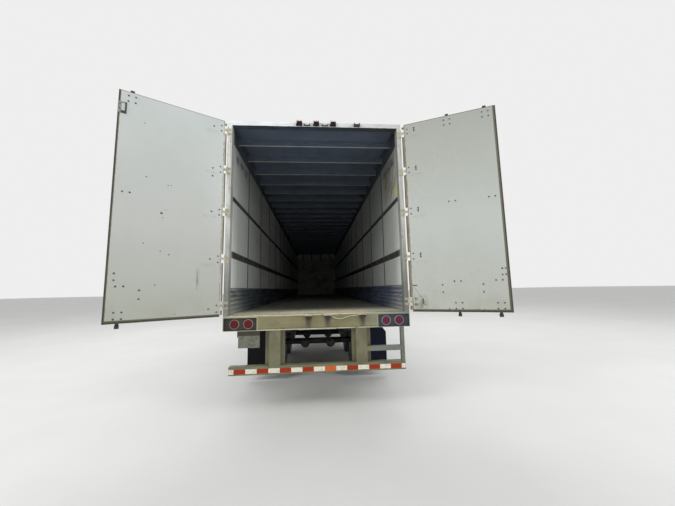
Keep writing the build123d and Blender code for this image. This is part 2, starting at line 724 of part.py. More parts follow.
# Small lamps along the sides and at the nose
with BuildPart() as side_lamps:
    depth, length, height = SIDE_LAMP
    low_z = FLOOR + (RAIL_RISE - height) / 2 - 20
    high_z = ROOF - TOP_RAIL_DEPTH / 2
    places = [(y, low_z) for y in (REAR + SIDE_LAMP_END, (REAR + NOSE) / 2, NOSE - SIDE_LAMP_END)]
    for y, z in places + [(NOSE - SIDE_LAMP_END, high_z)]:
        block((HALF, HALF + depth), (y - length / 2, y + length / 2), (z, z + height))
    mirror(about=Plane.YZ)
keep(side_lamps.part, "side_lamps")

# Rear guard: a square tube on two hat-section uprights, and the dock step beside it
GUARD_TOP = FLOOR - GUARD_DROP[0]
GUARD_LOW = FLOOR - GUARD_DROP[1]
with BuildPart() as rear_guard:
    block((-GUARD_HALF, GUARD_HALF), (REAR, REAR + GUARD_DEPTH), (GUARD_LOW, GUARD_TOP))
    block(
        (-GUARD_HALF, GUARD_HALF),
        (REAR + GUARD_WALL, REAR + GUARD_DEPTH - GUARD_WALL),
        (GUARD_LOW + GUARD_WALL, GUARD_TOP - GUARD_WALL),
        mode=Mode.SUBTRACT,
    )
    crown, spread = UPRIGHT_CROWN / 2, UPRIGHT_SPREAD / 2
    wall = GUARD_WALL
    for middle in (-UPRIGHT_X, UPRIGHT_X):
        half_hat = [
            (crown, 0),
            (crown + UPRIGHT_FLARE, UPRIGHT_DEPTH - wall),
            (spread, UPRIGHT_DEPTH - wall),
            (spread, UPRIGHT_DEPTH),
            (crown - wall + UPRIGHT_FLARE, UPRIGHT_DEPTH),
            (crown - wall, wall),
        ]
        hat = half_hat + [(-x, y) for x, y in reversed(half_hat)]
        upward([(middle + x, REAR + GUARD_SET + y) for x, y in hat], GUARD_TOP, SILL_LOW)
    step_low = FLOOR - STEP_RAIL_DROP[1]
    step_high = FLOOR - STEP_RAIL_DROP[0]
    step_y = (REAR + GUARD_SET, REAR + GUARD_SET + STEP_DEPTH)
    block(STEP_POST, step_y, (GUARD_TOP, SILL_LOW))
    block((UPRIGHT_X + crown, STEP_POST[0]), step_y, (step_low, step_high))
keep(rear_guard.part, "rear_guard")

# Blank number plate under the sill, on a folded bracket
with BuildPart() as number_plate:
    plate_y = REAR + PLATE_SET
    sheet, blank = PLATE_SHEET
    z = FLOOR - PLATE_DROP[0]
    across(
        [
            (plate_y, z - PLATE_LAP),
            (plate_y, SILL_LOW),
            (plate_y + PLATE_FOLD, SILL_LOW),
            (plate_y + PLATE_FOLD, SILL_LOW - sheet),
            (plate_y + sheet, SILL_LOW - sheet),
            (plate_y + sheet, z - PLATE_LAP),
        ],
        -PLATE_X[1] - PLATE_SPARE,
        -PLATE_X[0],
    )
    block((-PLATE_X[1], -PLATE_X[0]), (plate_y - blank, plate_y), (FLOOR - PLATE_DROP[1], z))
keep(number_plate.part, "number_plate")

# Hinge butts on the posts: a leaf, two knuckles and the pin
with BuildPart() as hinge_butts:
    for height in HINGE_HEIGHTS:
        z = FLOOR + height
        half = HINGE_KNUCKLE / 2
        for low, high in ((z - 3 * half, z - half - RUN), (z + half + RUN, z + 3 * half)):
            upward(
                [
                    (OPENING_HALF + LEAF_IN, REAR),
                    (HALF - 1, REAR),
                    (PIN_X + KNUCKLE_RADIUS - 2, PIN_Y + 2),
                    (PIN_X - KNUCKLE_RADIUS + 2, PIN_Y + 2),
                    (PIN_X - KNUCKLE_RADIUS, REAR - STRAP),
                    (OPENING_HALF + LEAF_IN, REAR - STRAP / 2),
                ],
                low,
                high,
            )
            rod((PIN_X, PIN_Y, low), (PIN_X, PIN_Y, high), KNUCKLE_RADIUS)
        rod((PIN_X, PIN_Y, z - 3 * half), (PIN_X, PIN_Y, z + 3 * half), PIN_RADIUS)
    mirror(about=Plane.YZ)
keep(hinge_butts.part, "hinge_butts")


# Doors, made shut and then swung to where they are parked
def swung(part, side, angle):
    """A door's piece turned about the hinge line."""
    return part.rotate(Axis((side * PIN_X, PIN_Y, 0), (0, 0, side)), angle)


def door_seal(side):
    """A rim round the panel, and a lip over the post that is parted at each hinge."""
    depth = (REAR + SEAL_SET, REAR + DOOR_PANEL)
    meet, out = side * (DOOR_MEET - SEAL_MEET), side * (DOOR_OUT + SEAL_OUT)
    block((meet, out), depth, (DOOR_LOW - SEAL_BELOW, DOOR_HIGH + SEAL_OUT))
    panel = (side * DOOR_MEET, side * DOOR_OUT)
    block(panel, depth, (DOOR_LOW, DOOR_HIGH), mode=Mode.SUBTRACT)
    ends = [DOOR_LOW, DOOR_HIGH]
    ends += [FLOOR + height + step for height in HINGE_HEIGHTS for step in (-HINGE_NOTCH, HINGE_NOTCH)]
    ends.sort()
    lip_front = REAR - LIP_GAP
    for low, high in zip(ends[::2], ends[1::2]):
        block((side * DOOR_OUT, out), (lip_front - SEAL_LIP, REAR + SEAL_SET), (low, high))
        tip = side * (PIN_X - LIP_TO_PIN)
        block((out, tip), (lip_front - SEAL_LIP, lip_front), (low, high))


def hinge_strap(side, z):
    """A plate on the door's face that narrows to a neck, stands off the post and curls at the pin."""
    half, foot = HINGE_KNUCKLE / 2, STRAP_HEIGHT / 2
    neck = DOOR_OUT + SEAL_OUT
    plate = [
        (PIN_X - STRAP_REACH, z + foot),
        (neck - foot, z + foot - CLEAR),
        (neck, z + half),
        (neck, z - half),
        (neck - foot, z - foot + CLEAR),
        (PIN_X - STRAP_REACH, z - foot),
    ]
    along([(side * x, height) for x, height in plate], REAR - STRAP, REAR)
    curl = [
        (DOOR_OUT, REAR),
        (neck, REAR - CLEAR),
        (PIN_X - KNUCKLE_RADIUS - 2, REAR - CLEAR),
        (PIN_X, PIN_Y + KNUCKLE_RADIUS),
        (PIN_X, PIN_Y),
        (PIN_X - KNUCKLE_RADIUS, PIN_Y),
        (PIN_X - KNUCKLE_RADIUS - 6, REAR - CLEAR - STRAP),
        (neck, REAR - CLEAR - STRAP),
        (DOOR_OUT, REAR - STRAP),
    ]
    upward([(side * x, y) for x, y in curl], z - half, z + half)
    low, high = (side * PIN_X, PIN_Y, z - half), (side * PIN_X, PIN_Y, z + half)
    rod(low, high, KNUCKLE_RADIUS)
    rod(low, high, PIN_RADIUS + KNUCKLE_FIT, mode=Mode.SUBTRACT)


def lock_rod(side, place):
    """A lock rod with its cams, guides, handle and catch."""
    x, y = side * place, REAR - ROD_STAND
    cams = (FLOOR - KEEPER_DROP, HEADER_LOW + HEADER_HEIGHT / 2)
    rod((x, y, cams[0] - ROD_END), (x, y, cams[1] + ROD_END), ROD_RADIUS)
    for z in cams:
        cam_y = (REAR - KEEPER_BASE - CLEAR, y - CAM_REACH)
        block((x - CAM_HALF, x + CAM_HALF), cam_y, (z - ROD_END, z + ROD_END))
    for height in GUIDE_HEIGHTS:
        z = (FLOOR + height - GUIDE[2] / 2, FLOOR + height + GUIDE[2] / 2)
        block((x - GUIDE[1] / 2, x + GUIDE[1] / 2), (y, REAR), z)
        block((x - GUIDE[0] / 2, x + GUIDE[0] / 2), (REAR - GUIDE_BASE, REAR), z)
    z, end_z = FLOOR + HANDLE_HEIGHT, FLOOR + HANDLE_END_HEIGHT
    radius, height = HANDLE_HUB
    rod((x, y, z - height / 2), (x, y, z + height / 2), radius)
    wide, thick = HANDLE_BAR
    end_x = x + side * HANDLE_REACH
    bar = [(x, z - wide / 2), (x, z + wide / 2), (end_x, end_z + wide / 2), (end_x, end_z - wide / 2)]
    along(bar, y - 2 - thick, y - 2)
    catch_x = x + side * CATCH_OUT
    for (width, low, high), depth in ((CATCH_BASE, GUIDE_BASE), (CATCH_HOOK, ROD_STAND + 4)):
        block((catch_x - width / 2, catch_x + width / 2), (REAR - depth, REAR), (FLOOR + low, FLOOR + high))


for side, side_name, angle, rod_places in DOORS:
    with BuildPart() as door:
        block((side * DOOR_MEET, side * DOOR_OUT), (REAR, REAR + DOOR_PANEL), (DOOR_LOW, DOOR_HIGH))
    keep(swung(door.part, side, angle), f"door_{side_name}")

    with BuildPart() as seal:
        door_seal(side)
    keep(swung(seal.part, side, angle), f"door_seal_{side_name}")

    with BuildPart() as straps:
        for height in HINGE_HEIGHTS:
            hinge_strap(side, FLOOR + height)
    keep(swung(straps.part, side, angle), f"door_hinges_{side_name}")

    with BuildPart() as rods:
        for place in rod_places:
            lock_rod(side, place)
    keep(swung(rods.part, side, angle), f"lock_rods_{side_name}")

# Landing gear: two legs with gearboxes, and plates up to the beams
LEG_Y = -LEG_BACK
OUTER, INSIDE = LEG_OUTER / 2, LEG_INNER / 2
with BuildPart() as legs:
    for side, side_name in SIDES:
        x = side * LEG_X
        block((x - OUTER, x + OUTER), (LEG_Y - OUTER, LEG_Y + OUTER), (-LEG_TUBE_LOW, BEAM_LOW))
        foot = GROUND + SHOE_BLOCK[1]
        block((x - INSIDE, x + INSIDE), (LEG_Y - INSIDE, LEG_Y + INSIDE), (foot, -LEG_TUBE_LOW))
        beyond, plate, drop = LEG_FLANGE
        flange = (x - OUTER - beyond, x + OUTER + beyond)
        block(flange, (LEG_Y - OUTER - plate, LEG_Y - OUTER), (-drop, BEAM_LOW))
        block(flange, (LEG_Y - BEAM_PITCH, LEG_Y + BEAM_PITCH), (BEAM_LOW - LEG_MOUNT, BEAM_LOW))
        width, length, height = GEARBOX
        box_low = -SHAFT_DROP - GEARBOX_BELOW
        box_x = (x - side * OUTER, x - side * (OUTER + width))
        block(box_x, (LEG_Y - length / 2, LEG_Y + length / 2), (box_low, box_low + height))
keep(legs.part, "landing_legs")

# Shaft between the gearboxes, and the folded crank outside the left leg
with BuildPart() as shaft:
    end = LEG_X - OUTER - GEARBOX[0]
    rod((-end, LEG_Y, -SHAFT_DROP), (end, LEG_Y, -SHAFT_DROP), SHAFT_RADIUS)
    stub = -LEG_X - OUTER
    rod((stub, LEG_Y, -SHAFT_DROP), (stub - CRANK_STUB, LEG_Y, -SHAFT_DROP), SHAFT_RADIUS)
    width, thick, length = CRANK_ARM
    arm_x = (stub - CRANK_STUB, stub - CRANK_STUB + thick)
    arm_low = -SHAFT_DROP - length
    block(arm_x, (LEG_Y - width / 2, LEG_Y + width / 2), (arm_low, -SHAFT_DROP + width / 2))
    grip_z = arm_low + width / 2
    radius, reach = CRANK_GRIP
    rod((arm_x[0], LEG_Y, grip_z), (arm_x[0] - reach, LEG_Y, grip_z), radius)
keep(shaft.part, "landing_shaft")

# Shoes: a plate with turned-up ends, two cheeks and a block under the leg's inner tube
with BuildPart() as shoes:
    for side, side_name in SIDES:
        x = side * LEG_X
        wide, long = SHOE[0] / 2, SHOE[1] / 2
        lower = [
            (-long, SHOE_TURN_UP),
            (-long + SHOE_TURN_UP, 0),
            (long - SHOE_TURN_UP, 0),
            (long, SHOE_TURN_UP),
        ]
        outline = lower + [(y, z + SHOE_PLATE) for y, z in reversed(lower)]
        across([(LEG_Y + y, GROUND + z) for y, z in outline], x - wide, x + wide)
        foot, top, height, thick = SHOE_CHEEK
        cheek = INSIDE + RUN
        for step in (-1, 1):
            across(
                [
                    (LEG_Y - foot / 2, GROUND + SHOE_PLATE),
                    (LEG_Y + foot / 2, GROUND + SHOE_PLATE),
                    (LEG_Y + top / 2, GROUND + height),
                    (LEG_Y - top / 2, GROUND + height),
                ],
                x + step * cheek,
                x + step * (cheek + thick),
            )
        length, height = SHOE_BLOCK
        middle = (LEG_Y - length / 2, LEG_Y + length / 2)
        block((x - INSIDE, x + INSIDE), middle, (GROUND + SHOE_PLATE, GROUND + height))
keep(shoes.part, "landing_shoes")

# Braces: one back along each leg and one across to a block between the beams
with BuildPart() as braces:
    depth, thick = BRACE
    foot = -LEG_TUBE_LOW + BRACE_FOOT
    back_y = LEG_Y - OUTER
    near_beam = max(y for y in BEAM_ROWS if y + BEAM_FLANGE / 2 < back_y)
    far_beam = max(y for y in BEAM_ROWS if y < back_y - BRACE_BACK)
    for side, side_name in SIDES:
        x = side * LEG_X
        lengthwise = [
            (back_y, foot),
            (back_y, foot + depth),
            (far_beam + depth / 2, BEAM_LOW),
            (far_beam - depth / 2, BEAM_LOW),
        ]
        across(lengthwise, x - thick / 2, x + thick / 2)
        crosswise = [
            (LEG_X - thick, foot),
            (LEG_X - thick, foot + depth),
            (BRACE_TOP[1], BEAM_LOW),
            (BRACE_TOP[0], BEAM_LOW),
        ]
        along([(side * a, z) for a, z in crosswise], back_y - thick, back_y)
    width, height = BRACE_HEAD
    head_y = (near_beam - BEAM_FLANGE / 2, back_y)
    block((-width / 2, width / 2), head_y, (BEAM_LOW - height, BEAM_LOW))
keep(braces.part, "landing_braces")

# Slide rails: Z sections under the beams
RAIL_START = REAR + SLIDE_RAIL_BEHIND
with BuildPart() as slide_rails:
    plate = SLIDE_RAIL_PLATE
    inside = SLIDE_X - SLIDER_WIDTH / 2
    outside = SLIDE_X + SLIDER_WIDTH / 2
    web = SLIDE_X - plate / 2
    along(
        [
            (inside, BEAM_LOW),
            (web + plate, BEAM_LOW),
            (web + plate, SLIDE_RAIL_LOW + plate),
            (outside, SLIDE_RAIL_LOW + plate),
            (outside, SLIDE_RAIL_LOW),
            (web, SLIDE_RAIL_LOW),
            (web, BEAM_LOW - plate),
            (inside, BEAM_LOW - plate),
        ],
        RAIL_START,
        RAIL_START + SLIDE_RAIL_LENGTH,
    )
    hole_z = (BEAM_LOW + SLIDE_RAIL_LOW) / 2
    last_hole = RAIL_START + SLIDE_RAIL_LENGTH - PIN_HOLE_PITCH
    for y in rows(RAIL_START + PIN_HOLE_PITCH, last_hole, PIN_HOLE_PITCH):
        rod((web, y, hole_z), (web + plate, y, hole_z), PIN_HOLE_RADIUS, mode=Mode.SUBTRACT)
    mirror(about=Plane.YZ)
keep(slide_rails.part, "slide_rails")

# Service panel on the nose: a plate, a socket and two air couplings
with BuildPart() as service:
    width, thick, height = SERVICE_PLATE
    z = FLOOR + SERVICE_HEIGHT
    block((-width / 2, width / 2), (NOSE, NOSE + thick), (z - height / 2, z + height / 2))
    outer, bore, end, depth = SOCKET
    rod((0, NOSE + thick, z), (0, NOSE + end, z), outer)
    rod((0, NOSE + end - depth, z), (0, NOSE + end, z), bore, mode=Mode.SUBTRACT)
    for x in (-AIR_X, AIR_X):
        rod((x, NOSE + thick, z), (x, NOSE + AIR_NECK[1], z), AIR_NECK[0])
        rod((x, NOSE + AIR_NECK[1], z), (x, NOSE + AIR_HEAD[1], z), AIR_HEAD[0])
keep(service.part, "service_panel")

# Slider: two rails, crossmembers, pads under the slide rails, clips and arm hangers
with BuildPart() as slider:
    inside, outside = SLIDE_X - SLIDER_WIDTH / 2, SLIDE_X + SLIDER_WIDTH / 2
    wall = SLIDER_WALL
    along(
        [
            (outside, SLIDER_LOW),
            (outside, SLIDER_TOP),
            (inside, SLIDER_TOP),
            (inside, SLIDER_TOP - wall),
            (outside - wall, SLIDER_TOP - wall),
            (outside - wall, SLIDER_LOW + wall),
            (inside, SLIDER_LOW + wall),
            (inside, SLIDER_LOW),
        ],
        SLIDER_BACK,
        SLIDER_FRONT,
    )
    length, drop, hook = CLIP
    clip_high = SLIDE_RAIL_LOW + SLIDE_RAIL_PLATE + CLEAR
    for y in (SLIDER_BACK + PAD[1], (SLIDER_BACK + SLIDER_FRONT) / 2, SLIDER_FRONT - PAD[1]):
        pad_y = (y - PAD[0] / 2, y + PAD[0] / 2)
        block((SLIDE_X, outside), pad_y, (SLIDER_TOP, SLIDE_RAIL_LOW - RUN))
        clip_y = (y - length / 2, y + length / 2)
        block((outside, outside + wall), clip_y, (SLIDER_TOP - drop, clip_high + wall))
        block((outside - hook, outside), clip_y, (clip_high, clip_high + wall))
        block((outside, outside + CLEAR), clip_y, (SLIDER_TOP, clip_high), mode=Mode.SUBTRACT)
    reach = ARM_WIDTH / 2 + ARM_SIDE
    for pivot_y in PIVOTS:
        for step in (-1, 1):
            near, far = SLIDE_X + step * reach, SLIDE_X + step * (reach + HANGER_PLATE)
            across(
                [
                    (pivot_y - HANGER_HALF[0], SLIDER_LOW),
                    (pivot_y - HANGER_HALF[1], PIVOT_Z - HANGER_HALF[1]),
                    (pivot_y + HANGER_HALF[1], PIVOT_Z - HANGER_HALF[1]),
                    (pivot_y + HANGER_HALF[0], SLIDER_LOW),
                ],
                near,
                far,
            )
        rod((SLIDE_X - reach, pivot_y, PIVOT_Z), (SLIDE_X + reach, pivot_y, PIVOT_Z), PIVOT_RADIUS)
    mirror(about=Plane.YZ)
    for pivot_y in PIVOTS:
        tie, below, above = HANGER_TIE
        across(
            [
                (pivot_y - tie, SLIDER_LOW - below),
                (pivot_y - tie, SLIDER_LOW + above),
                (pivot_y + tie, SLIDER_LOW + above),
                (pivot_y + tie, SLIDER_LOW + above - wall),
                (pivot_y - tie + wall, SLIDER_LOW + above - wall),
                (pivot_y - tie + wall, SLIDER_LOW - below),
            ],
            -inside - wall,
            inside + wall,
        )
    cross_top = SLIDER_TOP - CROSS_DROP
    for y in [SLIDER_BACK + CROSS_FLANGE] + SPRINGS:
        across(
            [
                (y - CROSS_FLANGE, SLIDER_LOW),
                (y - CROSS_FLANGE, cross_top),
                (y + CROSS_FLANGE, cross_top),
                (y + CROSS_FLANGE, cross_top - wall),
                (y - CROSS_FLANGE + wall, cross_top - wall),
                (y - CROSS_FLANGE + wall, SLIDER_LOW),
            ],
            -outside + wall,
            outside - wall,
        )
    radius, behind, above = PULL_ROD
    pull_y, pull_z = SLIDER_FRONT - behind, SLIDER_LOW + above
    rod((-outside + wall, pull_y, pull_z), (-PULL_OUT, pull_y, pull_z), radius)
    grip = (pull_y - PULL_GRIP / 2, pull_y + PULL_GRIP / 2)
    rod((-PULL_OUT, grip[0], pull_z), (-PULL_OUT, grip[1], pull_z), radius)
    bar_z = (SLIDER_LOW - FLAP_BAR, SLIDER_LOW)
    for side, side_name in SIDES:
        bar_x = (side * inside, side * (FLAP_X[1] - FLAP_CORNER[0]))
        block(bar_x, (SLIDER_BACK, SLIDER_BACK + FLAP_BAR), bar_z)
keep(slider.part, "slider_frame")

# Trailing arms: an eye, a bend over the axle and a seat for the spring
ARM_TOP = AXLE_Z + AXLE_RADIUS
with BuildPart() as arms:
    for axle_y, pivot_y, seat_y in zip(AXLE_ROWS, PIVOTS, SPRINGS):
        outline = [
            (pivot_y, PIVOT_Z + ARM_EYE),
            (axle_y + 90, ARM_TOP + 92),
            (axle_y - 90, ARM_TOP + 86),
            (seat_y + 90, SEAT_Z),
            (seat_y - 105, SEAT_Z),
            (seat_y - 105, SEAT_Z - 24),
            (seat_y + 70, SEAT_Z - 40),
            (axle_y - 110, ARM_TOP - ARM_CLASP),
            (axle_y - 82, ARM_TOP - ARM_CLASP),
            (axle_y - 82, ARM_TOP),
            (axle_y + 82, ARM_TOP),
            (axle_y + 82, ARM_TOP - ARM_CLASP),
            (axle_y + 110, ARM_TOP - ARM_CLASP),
            (pivot_y, PIVOT_Z - ARM_EYE),
        ]
        half = ARM_WIDTH / 2
        across(outline, SLIDE_X - half, SLIDE_X + half)
        ends = ((SLIDE_X - half, pivot_y, PIVOT_Z), (SLIDE_X + half, pivot_y, PIVOT_Z))
        rod(*ends, ARM_EYE)
        rod(*ends, PIVOT_RADIUS + RUN, mode=Mode.SUBTRACT)
    mirror(about=Plane.YZ)
keep(arms.part, "trailing_arms")

# Air springs: a bellows between the arm's seat and the slider
BELLOWS = (  # share of the radius, share of the height
    (0, 0),
    (0.62, 0),
    (0.62, 0.28),
    (0.88, 0.36),
    (1, 0.5),
    (1, 0.78),
    (0.88, 0.93),
    (0.7, 1),
    (0, 1),
)
with BuildPart() as springs:
    for y in SPRINGS:
        height = SLIDER_LOW - SEAT_Z
        plane = Plane(origin=(SLIDE_X, y, SEAT_Z), x_dir=(1, 0, 0), z_dir=(0, -1, 0))
        half_bellows = [(SPRING_RADIUS * r, height * z) for r, z in BELLOWS]
        revolve(face_of(plane, half_bellows), axis=Axis((SLIDE_X, y, 0), (0, 0, 1)))
    mirror(about=Plane.YZ)
keep(springs.part, "air_springs")

# Axles: a tube with stepped spindles, dust shields and the brake camshafts
SHIELD_X = DUAL_MIDDLE - DRUM_REACH - SHIELD_GAP
SHIELD_RADIUS = DRUM_RADIUS - 8.0
AXLE_OUTLINE = (  # distance from the middle, radius
    (0, 0),
    (0, AXLE_RADIUS),
    (SHIELD_X, AXLE_RADIUS),
    (SHIELD_X, SHIELD_RADIUS),
    (SHIELD_X + SHIELD_PLATE, SHIELD_RADIUS),
    (SHIELD_X + SHIELD_PLATE, AXLE_RADIUS),
    (SPINDLE[0], AXLE_RADIUS),
    (SPINDLE[0] + 12, SPINDLE_RADIUS),
    (SPINDLE[1], SPINDLE_RADIUS),
    (SPINDLE[1], 0),
)
with BuildPart() as axles:
    for axle_y in AXLE_ROWS:
        turned(AXLE_OUTLINE, 0, axle_y, AXLE_Z)
        cam_y, cam_z = axle_y - CAMSHAFT[0], AXLE_Z + CAMSHAFT[1]
        cam_start = CHAMBER_X + CHAMBER_RADIUS + 20
        rod((cam_start, cam_y, cam_z), (SHIELD_X, cam_y, cam_z), CAMSHAFT[2])
        block((cam_start - 12, cam_start), (cam_y - 24, axle_y), (AXLE_Z - 30, cam_z + 40))
        bracket = (CHAMBER_X - 30, CHAMBER_X + 30)
        block(bracket, (axle_y - CHAMBER_BEHIND, axle_y - 60), (AXLE_Z - 50, AXLE_Z + 40))
    mirror(about=Plane.YZ)
keep(axles.part, "axles")

# Brake chambers: two drums with clamp bands, behind each axle
CHAMBER_OUTLINE = (  # share of the length, share of the radius
    (0, 0),
    (0, 0.7),
    (0.14, 0.9),
    (0.3, 0.9),
    (0.3, 1),
    (0.38, 1),
    (0.38, 0.88),
    (0.62, 0.88),
    (0.62, 1),
    (0.7, 1),
    (0.7, 0.9),
    (0.9, 0.84),
    (1, 0.5),
    (1, 0),
)
with BuildPart() as chambers:
    for axle_y in AXLE_ROWS:
        start = (CHAMBER_X, axle_y - CHAMBER_BEHIND, AXLE_Z - 8.0)
        plane = Plane(origin=start, x_dir=(0, -1, 0), z_dir=(-1, 0, 0))
        outline = [(CHAMBER_LENGTH * d, CHAMBER_RADIUS * r) for d, r in CHAMBER_OUTLINE]
        revolve(face_of(plane, outline), axis=Axis(start, (0, -1, 0)))
    mirror(about=Plane.YZ)
keep(chambers.part, "brake_chambers")

# Mud flaps hung from brackets on the slider's tail
with BuildPart() as mud_flaps:
    high, low = SLIDER_LOW, FLOOR - FLAP_DROP
    inner_x, outer_x = FLAP_X
    cut_x, cut_z = FLAP_CORNER
    along(
        [
            (inner_x, high),
            (outer_x - cut_x, high),
            (outer_x, high - cut_z),
            (outer_x, low),
            (inner_x, low),
        ],
        SLIDER_BACK - FLAP,
        SLIDER_BACK,
    )
    mirror(about=Plane.YZ)
keep(mud_flaps.part, "mud_flaps")

# Air tank across the slider, strapped to its middle crossmember
with BuildPart() as tank:
    y = SPRINGS[1] - CROSS_FLANGE - TANK_RADIUS - RUN
    half = SLIDE_X - SLIDER_WIDTH / 2 - 60
    outline = [
        (-half, 0),
        (-half, TANK_RADIUS - TANK_CAP),
        (-half + TANK_CAP, TANK_RADIUS),
        (half - TANK_CAP, TANK_RADIUS),
        (half, TANK_RADIUS - TANK_CAP),
        (half, 0),
    ]
    turned(outline, 0, y, SLIDER_LOW + 40)
keep(tank.part, "air_tank")

# Dual wheels: two tyres, and two rims bolted to a hub and drum
TYRE_RINGS = (  # distance from the tyre's middle, radius
    (-TYRE_HALF, RIM_FLANGE + 102),
    (-126.0, TYRE_RADIUS - 16),
    (-108.0, TYRE_RADIUS),
    (108.0, TYRE_RADIUS),
    (126.0, TYRE_RADIUS - 16),
    (TYRE_HALF, RIM_FLANGE + 102),
)
BEAD = (96.0, RIM_RADIUS + 2)
DISH_RADIUS = RIM_FLANGE + 82
RIM_OUTLINE = (  # distance from the mounting face, radius
    (0, HUB_RADIUS - 6),
    (0, 185),
    (50, 246),
    (DUAL_HALF - 110, RIM_RADIUS - 7),
    (DUAL_HALF - 110, RIM_FLANGE),
    (DUAL_HALF - 104, RIM_FLANGE),
    (DUAL_HALF - 98, RIM_RADIUS),
    (DUAL_HALF - 74, RIM_RADIUS),
    (DUAL_HALF - 56, RIM_RADIUS - 22),
    (DUAL_HALF + 56, RIM_RADIUS - 22),
    (DUAL_HALF + 74, RIM_RADIUS),
    (DUAL_HALF + 98, RIM_RADIUS),
    (DUAL_HALF + 104, RIM_FLANGE),
    (DUAL_HALF + 110, RIM_FLANGE),
    (DUAL_HALF + 110, RIM_RADIUS - 7),
    (DUAL_HALF + 78, RIM_RADIUS - 7),
    (DUAL_HALF + 60, RIM_RADIUS - 29),
    (DUAL_HALF - 62, RIM_RADIUS - 29),
    (72, 240),
    (DISC, 182),
    (DISC, HUB_RADIUS - 6),
)
HUB_OUTLINE = (  # distance from the mounting face, radius
    (-135, SPINDLE_RADIUS + RUN),
    (-135, HUB_RADIUS - 14),
    (-DISC - 60, HUB_RADIUS),
    (-DISC - 60, DRUM_RADIUS - 12),
    (-DRUM_REACH, DRUM_RADIUS - 12),
    (-DRUM_REACH, DRUM_RADIUS),
    (-DISC - 52, DRUM_RADIUS),
    (-DISC - 14, 172),
    (-DISC, 172),
    (-DISC, HUB_RADIUS - 6),
    (DISC, HUB_RADIUS - 6),
    (60, HUB_RADIUS - 18),
    (95, HUB_RADIUS - 30),
    (118, HUB_RADIUS - 42),
    (118, 0),
    (70 + CLEAR, 0),
    (70 + CLEAR, SPINDLE_RADIUS + RUN),
)
for axle, axle_y in AXLES:
    for side, side_name in SIDES:
        mount = side * DUAL_MIDDLE
        with BuildPart() as tyres:
            for step in (-1, 1):
                centre = mount + step * DUAL_HALF
                sided(TYRE_RINGS, centre, axle_y, AXLE_Z)
                sided(((-BEAD[0], BEAD[1]), BEAD), centre, axle_y, AXLE_Z, mode=Mode.SUBTRACT)
                for way in (-1, 1):
                    dish = ((way * BEAD[0], BEAD[1]), (way * TYRE_HALF, DISH_RADIUS))
                    sided(dish, centre, axle_y, AXLE_Z, mode=Mode.SUBTRACT)
        keep(tyres.part, f"tyres_{axle}_{side_name}")

        with BuildPart() as wheel:
            for step in (-1, 1):
                turned([(step * d, r) for d, r in RIM_OUTLINE], mount, axle_y, AXLE_Z)
            turned([(side * d, r) for d, r in HUB_OUTLINE], mount, axle_y, AXLE_Z)
            plane = Plane(origin=(mount, axle_y, AXLE_Z), x_dir=(0, 1, 0), z_dir=(1, 0, 0))
            with BuildSketch(plane) as holes:
                with PolarLocations(HAND_HOLE_CIRCLE, HAND_HOLES):
                    Circle(HAND_HOLE)
            extrude(holes.sketch, amount=70, both=True, mode=Mode.SUBTRACT)
        keep(wheel.part, f"wheel_{axle}_{side_name}")
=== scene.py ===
import json
import math
import random
from functools import partialmethod, reduce
from operator import or_

import bmesh
import bpy
from mathutils import Matrix, Vector


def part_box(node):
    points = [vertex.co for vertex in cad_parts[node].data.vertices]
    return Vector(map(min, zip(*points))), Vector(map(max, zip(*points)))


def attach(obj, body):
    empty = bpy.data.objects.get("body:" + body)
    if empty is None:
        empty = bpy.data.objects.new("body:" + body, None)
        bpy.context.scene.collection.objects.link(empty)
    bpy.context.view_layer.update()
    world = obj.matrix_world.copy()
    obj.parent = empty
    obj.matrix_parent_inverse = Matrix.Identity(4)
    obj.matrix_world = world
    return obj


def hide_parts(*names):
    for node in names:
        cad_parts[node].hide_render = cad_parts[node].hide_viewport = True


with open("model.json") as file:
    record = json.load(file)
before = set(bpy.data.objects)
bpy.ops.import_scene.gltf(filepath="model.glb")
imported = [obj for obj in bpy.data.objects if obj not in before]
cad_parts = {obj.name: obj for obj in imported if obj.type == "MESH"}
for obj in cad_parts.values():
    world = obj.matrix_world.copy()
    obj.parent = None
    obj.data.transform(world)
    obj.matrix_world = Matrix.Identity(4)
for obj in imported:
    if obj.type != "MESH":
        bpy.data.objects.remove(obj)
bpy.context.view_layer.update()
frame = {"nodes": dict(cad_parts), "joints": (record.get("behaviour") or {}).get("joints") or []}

# Finishes, small fittings, camera and light for a box semi trailer.
# Metres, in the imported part's frame: +Y to the nose, +Z up and +X to the curb side.


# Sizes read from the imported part
def low(node):
    """Lowest corner of a CAD node."""
    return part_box(node)[0]


def high(node):
    """Highest corner of a CAD node."""
    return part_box(node)[1]


FLOOR = high("floor_deck").z
REAR = low("rear_sill").y
NOSE = high("front_wall").y
HALF = high("rear_header").x
GROUND = low("landing_shoes").z
SILL_LOW = low("rear_sill").z
HEADER_LOW = low("rear_header").z
INNER = high("roof_bows").x
WALL_FRONT = high("top_rails").y
WALL_BACK = low("top_rails").y
LINING_BACK = low("front_lining").y
SCUFF_TOP = high("scuff_liner_left").z
WALL_TOP = high("side_panels_left").z
WALL_OUT = high("side_panels_right").x
RAIL_TOP = high("bottom_rails").z
BOW_BACK = low("roof_bows").y
BOW_LOW = low("roof_bows").z
TRACK_LOW, TRACK_HIGH = low("wall_tracks_left").z, high("wall_tracks_left").z
JOINTS = {joint["name"]: joint for joint in frame["joints"]}
SIDES = ((-1, "left"), (1, "right"))
AXLES = ("rear", "front")

